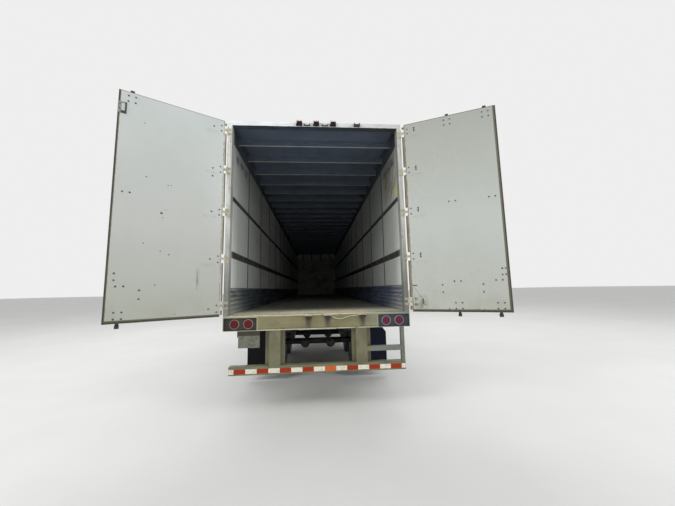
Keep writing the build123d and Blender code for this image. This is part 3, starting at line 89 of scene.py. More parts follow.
# Sizes that the finishes and fittings share
BOLT = 0.0085  # radius of a bolt's round head
RIVET = 0.0065
RIVET_PITCH = 0.1
SCREW_PITCH = 0.12  # also of the nose's rivets
WALL_JOINT = 1.3  # rear face to the first wall joint
WALL_PITCH = 1.2192
COVER = 0.002  # thickness of a joint's cover
BOW_PITCH = 0.6096
POST_PITCH = 0.6096  # posts inside the front wall
POST_INNER = HALF - 0.0624  # rear posts' inner faces
PANEL = 0.040  # door panel
DOOR_EDGE = 0.018  # door panel's free edge from the middle
DOOR_OUT = 1.218  # its hinge edge
STRAP = 0.008
GUIDE_BASE = 0.006
GUARD_TOP = FLOOR - 0.665
STEP_INNER = 0.737  # inner end of the step beside the guard
KEEPER_TOP = FLOOR - 0.009  # top of the keepers on the sill
PAN_INNER = 0.842  # lamp pan's inner end
PAN_TOP = FLOOR - 0.022
PAN_LOW = FLOOR - 0.194
PLATE_FACE = REAR + 0.011  # between the plate's face and its bracket's
LIP_TO_PIN = 0.024  # seal's lip to the hinge pins
SLOT_PITCH = 0.0508  # slots of the wall tracks
STRIP = 0.032  # width of a strip of the deck
BOARD = 0.305
TAPE = 0.0008  # tape's thickness
TAPE_BLOCK = 0.1524
TAPE_BAND = (FLOOR - 0.760, FLOOR - 0.700)  # on the guard bar
HINGES = (0.150, 0.790, 1.450, 2.070, 2.670)  # heights above the deck
GUIDES = (0.095, 0.415, 1.520, 2.685)
RODS = {"left": (0.135,), "right": (0.130, 0.618)}
CATCH_OUT = 0.188


# Mesh code that the fittings share
def at(place, outward=(0, 0, 1), turn=0.0):
    """A place whose own Z points outward."""
    facing = Vector(outward).to_track_quat("Z", "Y").to_matrix().to_4x4()
    return Matrix.Translation(place) @ facing @ Matrix.Rotation(turn, 4, "Z")


def circle(radius, count):
    """Points round a circle."""
    angles = [2 * math.pi * i / count for i in range(count)]
    return [(radius * math.cos(a), radius * math.sin(a)) for a in angles]


def steps(start, end, pitch):
    """Places from start on, a pitch apart, that lie short of end."""
    while start < end:
        yield start
        start += pitch


def linked(name, data):
    """A new object in the scene."""
    piece = bpy.data.objects.new(name, data)
    bpy.context.scene.collection.objects.link(piece)
    return piece


class Shape:
    """Forms gathered into one mesh. A mark is the number of the finish that a form takes."""

    def __init__(self):
        self.points = []
        self.faces = []
        self.marks = []
        self.soft = []

    def add(self, points, faces, mark=0, smooth=False, move=None):
        """Points and faces. The marks of the faces may be given one by one."""
        start = len(self.points)
        points = [Vector(point) for point in points]
        self.points += [move @ point for point in points] if move else points
        self.faces += [[start + i for i in face] for face in faces]
        self.marks += mark if isinstance(mark, list) else [mark] * len(faces)
        self.soft += [smooth] * len(faces)

    def block(self, x, y, z, mark=0, edge=0.0):
        """A box between two ends on each axis, its upright edges cut back by edge."""
        (x0, x1), (y0, y1), z = sorted(x), sorted(y), sorted(z)
        rim = [(x0 + edge, y0), (x1 - edge, y0), (x1, y0 + edge), (x1, y1 - edge)]
        rim += [(x1 - edge, y1), (x0 + edge, y1), (x0, y1 - edge), (x0, y0 + edge)]
        self.prism(rim if edge else rim[::2], *z, mark)

    def prism(self, outline, z0, z1, mark=0, move=None):
        """An outline of X, Y points carried from z0 to z1."""
        count = len(outline)
        points = [(a, b, z) for z in (z0, z1) for a, b in outline]
        faces = [list(reversed(range(count))), list(range(count, 2 * count))]
        for i in range(count):
            j = (i + 1) % count
            faces.append([i, j, count + j, count + i])
        self.add(points, faces, mark, False, move)

    def lathe(self, profile, count, mark=0, move=None, marks=None):
        """A profile of (radius, height) points turned about Z. Marks may differ by ring."""
        rings = []
        points = []
        for radius, height in profile:
            ring = circle(radius, count) if radius else [(0, 0)]
            rings.append([len(points) + i for i in range(len(ring))])
            points += [(a, b, height) for a, b in ring]
        faces = []
        for lower, upper in zip(rings, rings[1:]):
            for i in range(count):
                j = (i + 1) % count
                corners = [lower[i % len(lower)], lower[j % len(lower)]]
                corners += [upper[j % len(upper)], upper[i % len(upper)]]
                faces.append(list(dict.fromkeys(corners)))
        marks = [own for own in marks or [mark] * (len(rings) - 1) for i in range(count)]
        self.add(points, faces, marks, True, move)

    def tube(self, path, radius, count=8):
        """A round bar along a line of points, closed at both ends."""
        path = [Vector(p) for p in path]
        points = []
        side = None
        for i, point in enumerate(path):
            ahead = path[min(i + 1, len(path) - 1)] - path[max(i - 1, 0)]
            ahead.normalize()
            if side is None:
                side = ahead.orthogonal().normalized()
            side = (side - ahead * side.dot(ahead)).normalized()
            other = ahead.cross(side)
            points += [point + side * a + other * b for a, b in circle(radius, count)]
        faces = [list(reversed(range(count)))]
        last = len(points) - count
        for first in range(0, last, count):
            for i in range(count):
                j = (i + 1) % count
                faces.append([first + i, first + j, first + count + j, first + count + i])
        faces.append(list(range(last, last + count)))
        self.add(points, faces, 0, True)

    def carry(self, move):
        """Carries all that is there along with a door."""
        self.points = [move @ point for point in self.points]

    def made(self, name, body, finishes, slot):
        """The finished object, riding on its body."""
        mesh = bpy.data.meshes.new(name)
        mesh.from_pydata([tuple(p) for p in self.points], [], self.faces)
        for finish in finishes:
            mesh.materials.append(finish)
        mesh.polygons.foreach_set("material_index", self.marks)
        mesh.polygons.foreach_set("use_smooth", self.soft)
        tidy = bmesh.new()
        tidy.from_mesh(mesh)
        bmesh.ops.recalc_face_normals(tidy, faces=tidy.faces)
        tidy.to_mesh(mesh)
        tidy.free()
        piece = linked(name, mesh)
        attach(piece, body)
        return piece


def door_move(side_name):
    """From a door's place when shut to where it is parked."""
    joint = JOINTS[f"{side_name}_door_swing"]
    pin = Matrix.Translation(joint["pos_m"])
    angle = math.radians(-joint["range_deg"][0])
    return pin @ Matrix.Rotation(angle, 4, Vector(joint["axis"])) @ pin.inverted()


# Node code that the finishes share
def seen(*color):
    """A colour as it is read off a picture, 0 to 255, as the shader's linear numbers."""
    shares = [value / 255 for value in color]
    return [((v + 0.055) / 1.055) ** 2.4 if v > 0.04 else v / 12.92 for v in shares]


class Value:
    """A number, place or colour that nodes work out. Sums with it add nodes: | is the greater."""

    def __init__(self, look, socket):
        self.look = look
        self.socket = socket

    def step(self, kind, other=0.0):
        made = self.look.node("ShaderNodeMath", operation=kind)
        self.look.put(made.inputs[0], self)
        self.look.put(made.inputs[1], other)
        return Value(self.look, made.outputs[0])

    __abs__ = partialmethod(step, "ABSOLUTE")
    __add__ = partialmethod(step, "ADD")
    __sub__ = partialmethod(step, "SUBTRACT")
    __mul__ = partialmethod(step, "MULTIPLY")
    __truediv__ = partialmethod(step, "DIVIDE")
    __or__ = partialmethod(step, "MAXIMUM")
    __lt__ = partialmethod(step, "LESS_THAN")
    __gt__ = partialmethod(step, "GREATER_THAN")

    def span(self, start, end, first=0.0, last=1.0):
        """Carried from start..end to first..last and held there. Start may be the higher end."""
        made = self.look.node("ShaderNodeMapRange")
        names = ("Value", "From Min", "From Max", "To Min", "To Max")
        for name, value in zip(names, (self, start, end, first, last)):
            self.look.put(made.inputs[name], value)
        return Value(self.look, made.outputs["Result"])

    def between(self, first, last):
        """Carried from 0..1 to first..last."""
        return self.span(0, 1, first, last)

    def band(self, start, end, soft):
        """1 between start and end, and 0 outside."""
        return self.span(start - soft, start + soft) * self.span(end + soft, end - soft)

    def repeat(self, pitch, offset=0.0):
        """How far it is past the last of a row of places, as a share of the pitch."""
        return ((self - offset) / pitch).step("FRACT")


class Look:
    """A finish made of nodes, in coats. Colours are as seen, and inputs may be values too."""

    def __init__(self, name):
        self.material = bpy.data.materials.new(name)
        self.material.use_nodes = True
        self.tree = self.material.node_tree
        self.shader = self.tree.nodes["Principled BSDF"]
        self.place = Value(self, self.node("ShaderNodeTexCoord").outputs["Object"])
        self.color = None

    def node(self, kind, **settings):
        made = self.tree.nodes.new(kind)
        for key, value in settings.items():
            setattr(made, key, value)
        return made

    def put(self, socket, value):
        if isinstance(value, Value):
            self.tree.links.new(value.socket, socket)
        elif isinstance(value, tuple):
            socket.default_value = (*seen(*value), 1)
        else:
            socket.default_value = value

    def shut(self, side_name):
        """Goes over to the coordinates of a door as it is when shut."""
        joint = JOINTS[f"{side_name}_door_swing"]
        turn = self.node("ShaderNodeVectorRotate", rotation_type="Z_AXIS")
        self.put(turn.inputs["Vector"], self.place)
        turn.inputs["Center"].default_value = joint["pos_m"]
        turn.inputs["Angle"].default_value = math.radians(joint["range_deg"][0] * joint["axis"][2])
        self.place = Value(self, turn.outputs["Vector"])

    def axes(self, vector=None):
        """The three parts of a vector: across, forward and up of the place if none is given."""
        split = self.node("ShaderNodeSeparateXYZ")
        self.put(split.inputs[0], vector or self.place)
        return [Value(self, part) for part in split.outputs]

    def joined(self, *parts):
        made = self.node("ShaderNodeCombineXYZ")
        for socket, part in zip(made.inputs, parts):
            self.put(socket, part)
        return Value(self, made.outputs[0])

    def rise(self):
        """How far a face looks up: 1 for straight up and -1 for down."""
        return self.axes(Value(self, self.node("ShaderNodeNewGeometry").outputs["Normal"]))[2]

    def sized(self, sizes):
        """The place divided by the sizes of a pattern, or by one size."""
        scale = self.node("ShaderNodeMapping")
        self.put(scale.inputs["Vector"], self.place)
        sizes = sizes if isinstance(sizes, tuple) else (sizes,) * 3
        scale.inputs["Scale"].default_value = [1 / size for size in sizes]
        return Value(self, scale.outputs["Vector"])

    def noise_at(self, place, detail, rough=0.5):
        made = self.node("ShaderNodeTexNoise")
        self.put(made.inputs["Vector"], place)
        for name, number in (("Scale", 1.0), ("Detail", detail), ("Roughness", rough)):
            self.put(made.inputs[name], number)
        return Value(self, made.outputs["Fac"])

    def noise(self, sizes, detail=4.0, rough=0.6):
        return self.noise_at(self.sized(sizes), detail, rough)

    def cells(self, sizes, feature="F1", output="Distance"):
        made = self.node("ShaderNodeTexVoronoi", feature=feature)
        self.put(made.inputs["Vector"], self.sized(sizes))
        self.put(made.inputs["Scale"], 1.0)
        return Value(self, made.outputs[output])

    def flecks(self, size):
        """A different grey from 0 to 1 in each grain of a metal's surface."""
        return self.axes(self.cells(size, output="Color"))[0]

    def dots(self, across, up, places):
        """1 in round spots, each given as its place across, its height and its radius."""
        flat = self.joined(across, 0.0, up)
        spots = []
        for x, z, radius in places:
            gap = self.node("ShaderNodeVectorMath", operation="DISTANCE")
            self.put(gap.inputs[0], flat)
            gap.inputs[1].default_value = (x, 0, z)
            spots.append(Value(self, gap.outputs["Value"]).span(radius * 1.1, radius * 0.7))
        return reduce(or_, spots)

    def spots(self, sizes, share):
        """1 in small scattered spots, with share the size of a spot in its cell."""
        return self.cells(sizes).span(share, share * 0.7)

    def mix(self, amount, first, second):
        made = self.node("ShaderNodeMix", data_type="RGBA")
        for index, value in ((0, amount), (6, first), (7, second)):
            self.put(made.inputs[index], value)
        return Value(self, made.outputs[2])

    def sided(self, color, curb):
        """A colour, and another on the curb side if one is given."""
        return self.mix(self.axes()[0] > 0, color, curb) if curb else color

    def coat(self, mask, color):
        """A colour over what is there, where the mask is 1."""
        self.color = self.mix(mask, self.color, color)

    def done(self, roughness, metallic=0.0, bump=None, depth=0.001, **more):
        more.update(Base_Color=self.color, Roughness=roughness, Metallic=metallic)
        for key, value in more.items():
            self.put(self.shader.inputs[key.replace("_", " ")], value)
        if bump:
            made = self.node("ShaderNodeBump")
            self.put(made.inputs["Distance"], depth)
            self.put(made.inputs["Height"], bump)
            self.tree.links.new(made.outputs["Normal"], self.shader.inputs["Normal"])
        return self.material


# Finishes
def wall_paint():
    """White panels: grimy outside, and inside a greyer face, scuffed, with painted shade darker to
    the top and a few metres in from the opening, and painted light low at the opening's edge and
    deeper in.
    """
    look = Look("wall_paint")
    across, forward, up = look.axes()
    streaks = look.noise((0.12, 0.12, 1.6)).span(0.42, 0.68)
    patches = look.noise((0.9, 0.9, 0.5), 6).span(0.4, 0.7)
    look.color = look.mix(streaks * 0.35, (224, 226, 224), (186, 186, 178))
    look.coat(up.span(FLOOR + 1.1, FLOOR) * patches * 0.7, (150, 146, 134))
    seam = abs(forward.repeat(WALL_PITCH, REAR + WALL_JOINT - WALL_PITCH / 2) - 0.5)
    seam = seam.band(0.0325, 0.038, 0.0015) * patches.between(0.45, 0.9)
    look.coat(seam, (116, 114, 106))
    outside = look.color
    side_wall = forward < LINING_BACK
    # Painted shade: the side walls' inner face darkens towards the top.
    height = up.span(FLOOR + 0.5, FLOOR + 2.6) * side_wall
    look.color = look.mix(height, (238, 241, 238), (178, 180, 176))
    # Painted shade: the inner walls darker from 0.6 m to 1.6 m in from the opening, fading out
    # towards 0.25 m and 3.4 m.
    painted_shade_rear = forward.span(REAR + 0.25, REAR + 0.6) * forward.span(REAR + 3.4, REAR + 1.6)
    look.coat(painted_shade_rear * 0.5, (128, 131, 128))
    look.coat(streaks * 0.25, (168, 172, 166))
    look.coat(patches * 0.2, (146, 146, 136))
    # Painted light: a bright strip low on the walls at the opening's edge, and the side walls
    # paler from 2.5 m in.
    end = forward.span(REAR + 0.12, REAR + 0.32, 0.9, 0.0) * up.span(FLOOR + 1.6, FLOOR + 1.3)
    deep = forward.span(REAR + 2.5, REAR + 5.5) * side_wall * 0.7
    look.coat(end | deep, (250, 252, 250))
    scuffs = look.noise((0.9, 0.9, 0.012), 2).span(0.62, 0.72) * patches.span(0.3, 0.9)
    look.coat(scuffs * 0.6, (96, 98, 98))
    holes = look.spots((0.5, 0.21, 0.23), 0.09) * streaks.span(0.2, 0.6)
    look.coat(holes * 0.8, (48, 48, 46))
    curb = across > 0
    slant = look.joined((forward + up * 0.7) / 0.05, up / 0.35)
    scratch = look.noise_at(slant, 4).span(0.44, 0.58) * curb
    scratch *= forward.band(REAR + 0.28, REAR + 1.05, 0.07)
    scratch *= up.band(FLOOR + 1.85, FLOOR + 2.45, 0.12)
    look.coat(scratch * 0.95, (104, 88, 58))
    rubs = look.noise((0.14, 0.14, 0.05), 5).span(0.46, 0.58)
    rubs *= forward.band(REAR + 0.35, REAR + 1.15, 0.08)
    rubs *= up.band(FLOOR + 2.38, FLOOR + 2.50, 0.03)
    look.coat(rubs * 0.9, (40, 42, 44))
    paint = curb * forward.band(REAR + 0.22, REAR + 0.40, 0.03)
    paint *= up.band(FLOOR + 1.80, FLOOR + 1.98, 0.04) * streaks.span(0.0, 0.4)
    look.coat(paint * 0.8, (206, 204, 96))
    look.coat(up.span(FLOOR + 2.597, FLOOR + 2.605) * side_wall, (76, 82, 86))
    post = across.repeat(POST_PITCH, POST_PITCH / 2 - 0.032).band(0.0, 0.105, 0.01)
    look.coat(post * (forward > LINING_BACK) * 0.85, (52, 54, 54))
    inside = (abs(across) < INNER + 0.004) * (forward < NOSE - 0.004) * (up < WALL_TOP + 0.001)
    look.color = look.mix(inside, outside, look.color)
    return look.done(patches.between(0.38, 0.6), 0.0, look.noise(0.5, 3), 0.004)


# A door's enamel at its top, middle and foot; how these differ is painted light and shade
ENAMEL_AND_SHADE = {
    "left": ((203, 210, 208), (194, 197, 193), (178, 181, 171)),
    "right": ((170, 174, 166), (194, 199, 194), (188, 192, 184)),
}
TRIM = {"left": 0.026, "right": 0.040}  # the trim's end from the middle
CHIPS = {  # place from the middle, height above the deck, radius
    "left": (
        (0.699, 0.079, 0.007), (0.276, 2.425, 0.007), (0.325, 1.749, 0.009),
        (0.560, 1.682, 0.008), (0.594, 1.689, 0.007), (0.504, 1.317, 0.016),
        (0.605, 0.805, 0.009), (0.512, 0.845, 0.008), (0.475, 0.435, 0.009),
        (0.335, 0.930, 0.008), (0.520, 1.260, 0.007),
    ),
    "right": (
        (0.745, 0.052, 0.010), (0.420, 0.049, 0.006), (0.385, 0.050, 0.007),
        (0.330, 0.052, 0.006), (1.104, 0.222, 0.006),
    ),
}


def door_paint(side_name):
    """Smooth pale enamel inside, its tone changing with height as painted light and shade, with
    chips, scuffs and a grimed foot, and white outside.
    """
    look = Look(f"door_paint_{side_name}")
    look.shut(side_name)
    along, depth, up = look.axes()
    out = abs(along)
    top, middle, foot = ENAMEL_AND_SHADE[side_name]
    # Painted light and shade: the enamel's tone changes from the foot to the top.
    look.color = look.mix(up.span(FLOOR + 1.3, FLOOR + 2.7), middle, top)
    look.coat(up.span(FLOOR + 1.2, FLOOR + 0.1), foot)
    cloud = look.noise((0.6, 1, 1.0)).span(0.35, 0.7)
    look.coat(cloud * 0.22, (170, 173, 163))
    grime = up.span(FLOOR + 0.45, FLOOR + 0.03) * look.noise((0.25, 1, 0.3), 6).span(0.4, 0.72)
    look.coat(grime * 0.4, (150, 144, 118))
    rim = out.span(DOOR_EDGE + 0.014, DOOR_EDGE + 0.004) | up.span(FLOOR + 0.052, FLOOR + 0.038)
    rim |= out.span(DOOR_OUT - 0.010, DOOR_OUT - 0.002)
    rim *= look.noise((0.03, 1, 0.05), 5).span(0.42, 0.56) * 0.75
    trim = TRIM[side_name]
    trim = out.span(trim, trim - 0.003) | up.span(FLOOR + 0.048, FLOOR + 0.044)
    look.coat(rim | trim * 0.9, look.mix(cloud, (88, 84, 60), (70, 66, 46)))
    levels = [FLOOR + height - 0.095 for height in HINGES[1:]]
    marks = reduce(or_, [up.band(z - 0.022, z + 0.022, 0.008) for z in levels])
    lines = look.noise((0.02, 1, 0.006), 3).span(0.5, 0.6)
    look.coat(out.band(0.985, 1.15, 0.012) * marks * lines * 0.35, (126, 126, 114))
    hairs = look.noise((0.35, 1, 0.006), 2).span(0.68, 0.72)
    hairs *= look.noise((0.5, 1, 0.5), 3).span(0.52, 0.6)
    look.coat(hairs * 0.35, (142, 142, 132))
    if side_name == "left":
        smudge = out.band(0.926, 0.952, 0.014) * up.band(FLOOR + 0.40, FLOOR + 0.64, 0.05)
        smudge *= look.noise((0.02, 1, 0.1)).span(0.36, 0.56)
        look.coat(smudge * 0.75, (112, 114, 108))
        line = up.band(FLOOR + 1.362, FLOOR + 1.366, 0.002) * out.band(0.515, 0.585, 0.01)
        look.coat(line * 0.6, (96, 96, 88))
    else:
        dirt = out.band(1.03, 1.21, 0.03) * up.band(FLOOR + 0.04, FLOOR + 0.21, 0.05)
        dirt *= look.noise((0.04, 1, 0.04), 6, 0.7).span(0.42, 0.6)
        look.coat(dirt * 0.75, (112, 102, 66))
        slope = up - (FLOOR + 0.356) - (out - 1.20) * 1.43
        scratch = slope.band(-0.004, 0.004, 0.003) * out.band(1.056, 1.20, 0.004)
        gouge = up.band(FLOOR + 0.366, FLOOR + 0.380, 0.003) * out.band(1.148, 1.212, 0.006)
        look.coat(scratch * 0.6 | gouge, (44, 42, 32))
    chips = look.dots(out, up, [(x, FLOOR + z, radius) for x, z, radius in CHIPS[side_name]])
    look.coat(chips * 0.9, (70, 66, 52))
    road = look.mix(cloud * 0.5, (218, 220, 218), (176, 174, 164))
    look.coat(depth < REAR + PANEL / 2, road)
    rough = look.noise((0.5, 1, 0.9)).span(0.3, 0.7, 0.16, 0.3)
    bumps = look.noise((0.6, 1, 0.9), 1) - chips * 0.2
    return look.done(rough, 0.0, bumps, 0.002, Coat_Weight=0.25, Coat_Roughness=0.12)


def seal_rubber(side_name, top, strip, lip):
    """Door seal: dark at its edges, and worn pale and tan where it laps the post."""
    look = Look(f"seal_rubber_{side_name}")
    look.shut(side_name)
    across, forward, up = look.axes()
    out = abs(across)
    cloud = look.noise((0.05, 0.05, 0.25), 6).span(0.36, 0.68)
    look.color = look.mix(cloud, (48, 46, 34), (84, 78, 58))
    look.coat(up > HEADER_LOW - 0.014, top)
    worn = look.mix(out.span(DOOR_OUT + 0.024, DOOR_OUT + 0.028), strip, lip)
    worn = look.mix(cloud * 0.7, worn, (104, 94, 74))
    look.coat(out.span(DOOR_OUT - 0.001, DOOR_OUT + 0.001), worn)
    tip = abs(JOINTS[f"{side_name}_door_swing"]["pos_m"][0]) - LIP_TO_PIN
    look.coat(out.span(tip - 0.011, tip - 0.008), (78, 70, 52))
    cracks = look.noise((0.02, 0.02, 0.008)).span(0.58, 0.66)
    look.coat(cracks * 0.5, (30, 28, 24))
    return look.done(cloud.between(0.6, 0.85), 0.0, cracks, 0.0004)


def worn_paint(name, fresh, faded, under, share=0.5, size=0.25):
    """Chipped, dirty paint over another coat."""
    look = Look(name)
    look.color = look.mix(look.noise(size, 6).span(0.35, 0.68), fresh, faded)
    chips = look.noise((size / 5, size / 5, size / 4), 8, 0.7).span(0.60, 0.64)
    chips *= look.noise(size * 2, 3).span(0.42, 0.55)
    look.coat(chips * share, under)
    grime = look.noise((size / 2, size / 2, size * 1.6), 5).span(0.5, 0.75)
    look.coat(grime * 0.45, (52, 50, 42))
    return look.done(grime.between(0.4, 0.7), 0.0, look.noise(0.01, 3) - chips, 0.0008)


def sill_paint():
    """Olive paint on the sill: rust runs under the keepers, a painted shade line over the bottom
    lip, painted highlights on the lips and the pans' edges, and dark lamp pans.
    """
    look = Look("sill_paint")
    across, forward, up = look.axes()
    out = abs(across)
    cloud = look.noise((0.3, 0.3, 0.12), 6).span(0.35, 0.68)
    look.color = look.mix(cloud, (131, 126, 94), (108, 105, 76))
    look.coat(across.span(-0.2, -1.1) * 0.5, (150, 143, 106))
    look.coat(across.span(0.55, 0.85, 0.0, 0.5), (136, 142, 126))
    for place in [-x for x in RODS["left"]] + list(RODS["right"]):
        run = abs(across - place).span(0.058, 0.014)
        run *= up.span(FLOOR - 0.17, FLOOR - 0.07, 0.5, 1.0)
        run *= look.noise((0.014, 0.1, 0.09), 5).span(0.26, 0.44)
        look.coat(run * 0.97, (46, 32, 20))
    specks = look.noise((0.2, 0.2, 0.1), 3).span(0.5, 0.6) * look.spots((0.05, 0.05, 0.04), 0.2)
    look.coat(specks * 0.6, (88, 62, 38))
    # Painted shade: a dark line along the groove above the bottom lip.
    look.coat(up.band(SILL_LOW + 0.017, SILL_LOW + 0.027, 0.003) * 0.55, (70, 64, 42))
    # Painted highlights: the lips and the lamp pans' edges take the pale coat that is called worn
    # here.
    lip = up.span(FLOOR - 0.014, FLOOR - 0.004) | up.span(SILL_LOW + 0.016, SILL_LOW + 0.012)
    lip *= look.noise((0.08, 0.08, 0.03), 6).span(0.34, 0.46)
    over_pan = up.band(PAN_TOP, PAN_TOP + 0.007, 0.001) * (out > PAN_INNER)
    beside_pan = out.band(PAN_INNER - 0.008, PAN_INNER, 0.001) * up.band(PAN_LOW, PAN_TOP, 0.002)
    worn = look.mix(across.span(0.5, 1.0), (204, 198, 168), (142, 148, 140))
    look.coat((lip | over_pan | beside_pan) * 0.8, worn)
    slate = look.mix(cloud, look.sided((40, 41, 40), (46, 60, 70)), (50, 49, 46))
    look.coat((forward > REAR + 0.003) * (out > PAN_INNER - 0.007), slate)
    return look.done(cloud.between(0.42, 0.62), 0.0, look.noise(0.03, 5), 0.0012)


def guard_paint():
    """Olive paint on the guard and its uprights, and blue-grey on the step beside them."""
    look = Look("guard_paint")
    across, forward, up = look.axes()
    cloud = look.noise(0.25, 6).span(0.35, 0.68)
    look.color = look.mix(cloud, (122, 120, 92), (100, 98, 74))
    step = (across > STEP_INNER) * (up > GUARD_TOP)
    look.coat(step, look.mix(cloud, (118, 124, 116), (98, 103, 92)))
    chips = look.noise((0.05, 0.05, 0.06), 8, 0.7).span(0.60, 0.64)
    chips *= look.noise(0.5, 3).span(0.42, 0.55)
    look.coat(chips * 0.75, (84, 60, 38))
    grime = look.noise((0.12, 0.12, 0.4), 5).span(0.5, 0.75)
    look.coat(grime * 0.45, (52, 50, 40))
    return look.done(grime.between(0.42, 0.7), 0.0, chips, 0.0008)


def keeper_paint():
    """Keepers: dark, pale on upward faces and along the sill keepers' tops as painted light, and
    on the header dark as painted shade beneath a white band over the middle.
    """
    look = Look("keeper_paint")
    across, forward, up = look.axes()
    cloud = look.noise(0.02, 5).span(0.36, 0.66)
    header = up > FLOOR + 1
    look.color = look.mix(cloud, (52, 48, 38), (84, 70, 48))
    # Painted shade: the header's keepers dark beneath the white band of the middle ones.
    look.coat(header, look.mix(cloud, (42, 46, 42), (62, 62, 54)))
    white = header * (across < 0.4) * up.span(HEADER_LOW + 0.020, HEADER_LOW + 0.032)
    look.coat(white * cloud.between(1.0, 0.75), (228, 229, 224))
    # Painted light: the upward faces and the sill keepers' top band take the pale coat called worn
    # here.
    worn = look.rise().span(0.4, 0.8) | up.band(KEEPER_TOP - 0.009, KEEPER_TOP + 0.01, 0.001)
    look.coat(worn * 0.9, (206, 202, 182))
    return look.done(cloud.between(0.4, 0.65), 0.2, cloud, 0.0006)


def post_paint():
    """Rear posts: pale paint, worn in long patches, with painted shade greying it to the foot and
    darkening the inner faces.
    """
    look = Look("post_paint")
    across, forward, up = look.axes()
    long = look.noise((0.03, 0.05, 0.4), 7, 0.65).span(0.46, 0.6)
    look.color = look.mix(across < 0.0, (212, 215, 210), (238, 242, 238))
    look.coat(long * 0.5, (150, 144, 124))
    bare = look.noise((0.015, 0.05, 0.16), 6, 0.7).span(0.58, 0.64)
    look.coat(bare, (218, 220, 217))
    look.coat(look.noise((0.04, 0.05, 0.08), 6).span(0.6, 0.7) * 0.75, (104, 78, 50))
    # Painted shade: the posts grey towards the foot.
    look.coat(up.span(FLOOR + 0.35, FLOOR + 1.35, 0.85, 0.0), (112, 117, 108))
    # Painted shade: the posts' inner faces darker, more so higher up.
    reveal = (abs(across) < POST_INNER + 0.0005) * (forward > REAR + 0.003)
    look.coat(reveal * up.span(FLOOR + 0.8, FLOOR + 1.5, 0.15, 0.6), (70, 76, 72))
    return look.done(long.between(0.4, 0.65), bare * 0.3, bare | long, 0.0006)


def header_paint():
    """Header: bright at the left and greyer towards the right, chipped, and dark beneath."""
    look = Look("header_paint")
    across, forward, up = look.axes()
    cloud = look.noise((0.2, 0.1, 0.03), 6).span(0.4, 0.62)
    side = across.span(-0.2, 1.0)
    look.color = look.mix(side, (242, 246, 250), (200, 204, 202))
    look.coat(cloud * 0.25, (120, 120, 112))
    edge = up.span(HEADER_LOW + 0.012, HEADER_LOW)
    edge *= look.noise((0.06, 0.05, 0.05), 5).span(0.46, 0.6)
    look.coat(edge * 0.5, (110, 102, 84))
    beneath = (up < HEADER_LOW + 0.003) * (forward > REAR + 0.003)
    slate = look.mix(cloud, look.mix(side, (74, 84, 98), (66, 70, 70)), (58, 62, 66))
    look.coat(beneath | (forward > WALL_BACK - 0.003), slate)
    return look.done(cloud.between(0.35, 0.6), 0.0, cloud, 0.0006)


def bare_metal(name, light, dark, grain, rough=(0.32, 0.52), dirt=0.35, metallic=0.85,
               within=None):
    """Mill-finish or zinc-coated metal with grain and stains, and maybe a colour in the box."""
    look = Look(name)
    fine = look.noise(grain).span(0.35, 0.65)
    look.color = look.mix(fine, light, dark)
    look.coat(look.flecks(0.02) * 0.3, dark)
    stain = look.noise((0.3, 0.3, 0.2), 6).span(0.48, 0.72)
    look.coat(stain * dirt, (92, 86, 74))
    metal = stain.between(metallic, metallic * 0.55)
    if within:
        across, forward, up = look.axes()
        inner = (abs(across) < INNER + 0.001) * (up < WALL_TOP + 0.001)
        look.coat(inner, look.mix(stain, within, (58, 62, 66)))
        metal *= inner.span(1, 0)
    return look.done(fine.between(*rough), metal, fine, 0.0003)


def dusty_paint(name, base, dust, rust, dust_share=0.4):
    """Chassis or wheel paint under road dust that lies on top faces, with rusty spots."""
    look = Look(name)
    cloud = look.noise(0.22, 6).span(0.34, 0.68)
    lying = look.rise().span(0.1, 0.9, 0.35, 1.0)
    look.color = look.mix(cloud * lying * dust_share, base, dust)
    spots = look.noise((0.03, 0.03, 0.05), 7, 0.7).span(0.58, 0.66)
    look.coat(spots * look.noise(0.5, 2).span(0.4, 0.6) * 0.7, rust)
    return look.done(cloud.between(0.45, 0.8), 0.0, look.noise(0.012), 0.0008)


def liner_paint():
    """Navy scuff liner with level scratches, paler in streaks near the opening and dusty below."""
    look = Look("liner_paint")
    across, forward, up = look.axes()
    crest = abs(across).span(INNER - 0.007, INNER - 0.0125)
    cloud = look.noise((0.5, 0.5, 0.12), 5).span(0.35, 0.68)
    look.color = look.mix(cloud, look.sided((82, 94, 98), (92, 104, 132)),
                          look.sided((58, 68, 72), (66, 76, 102)))
    look.coat(crest * 0.25, (124, 130, 138))
    foot = up.span(FLOOR + 0.26, FLOOR + 0.03) * forward.span(REAR + 1.4, REAR + 0.3)
    look.coat(foot * 0.55, (176, 176, 172))
    # Pale streaks over the liner in its first metre from the opening.
    pale_streaks = forward.span(REAR + 0.95, REAR + 0.3)
    pale_streaks *= look.noise((0.05, 0.25, 0.012)).span(0.36, 0.54) * (crest | 0.35)
    look.coat(pale_streaks * 0.9, (196, 198, 194))
    scrape = look.noise((0.02, 0.7, 0.006), 3).span(0.6, 0.68)
    look.coat(scrape * 0.5, (150, 152, 150))
    look.coat(look.noise((0.05, 0.16, 0.05), 6).span(0.62, 0.7) * 0.4, (92, 68, 48))
    return look.done(cloud.between(0.38, 0.6), 0.2, scrape, 0.0004)


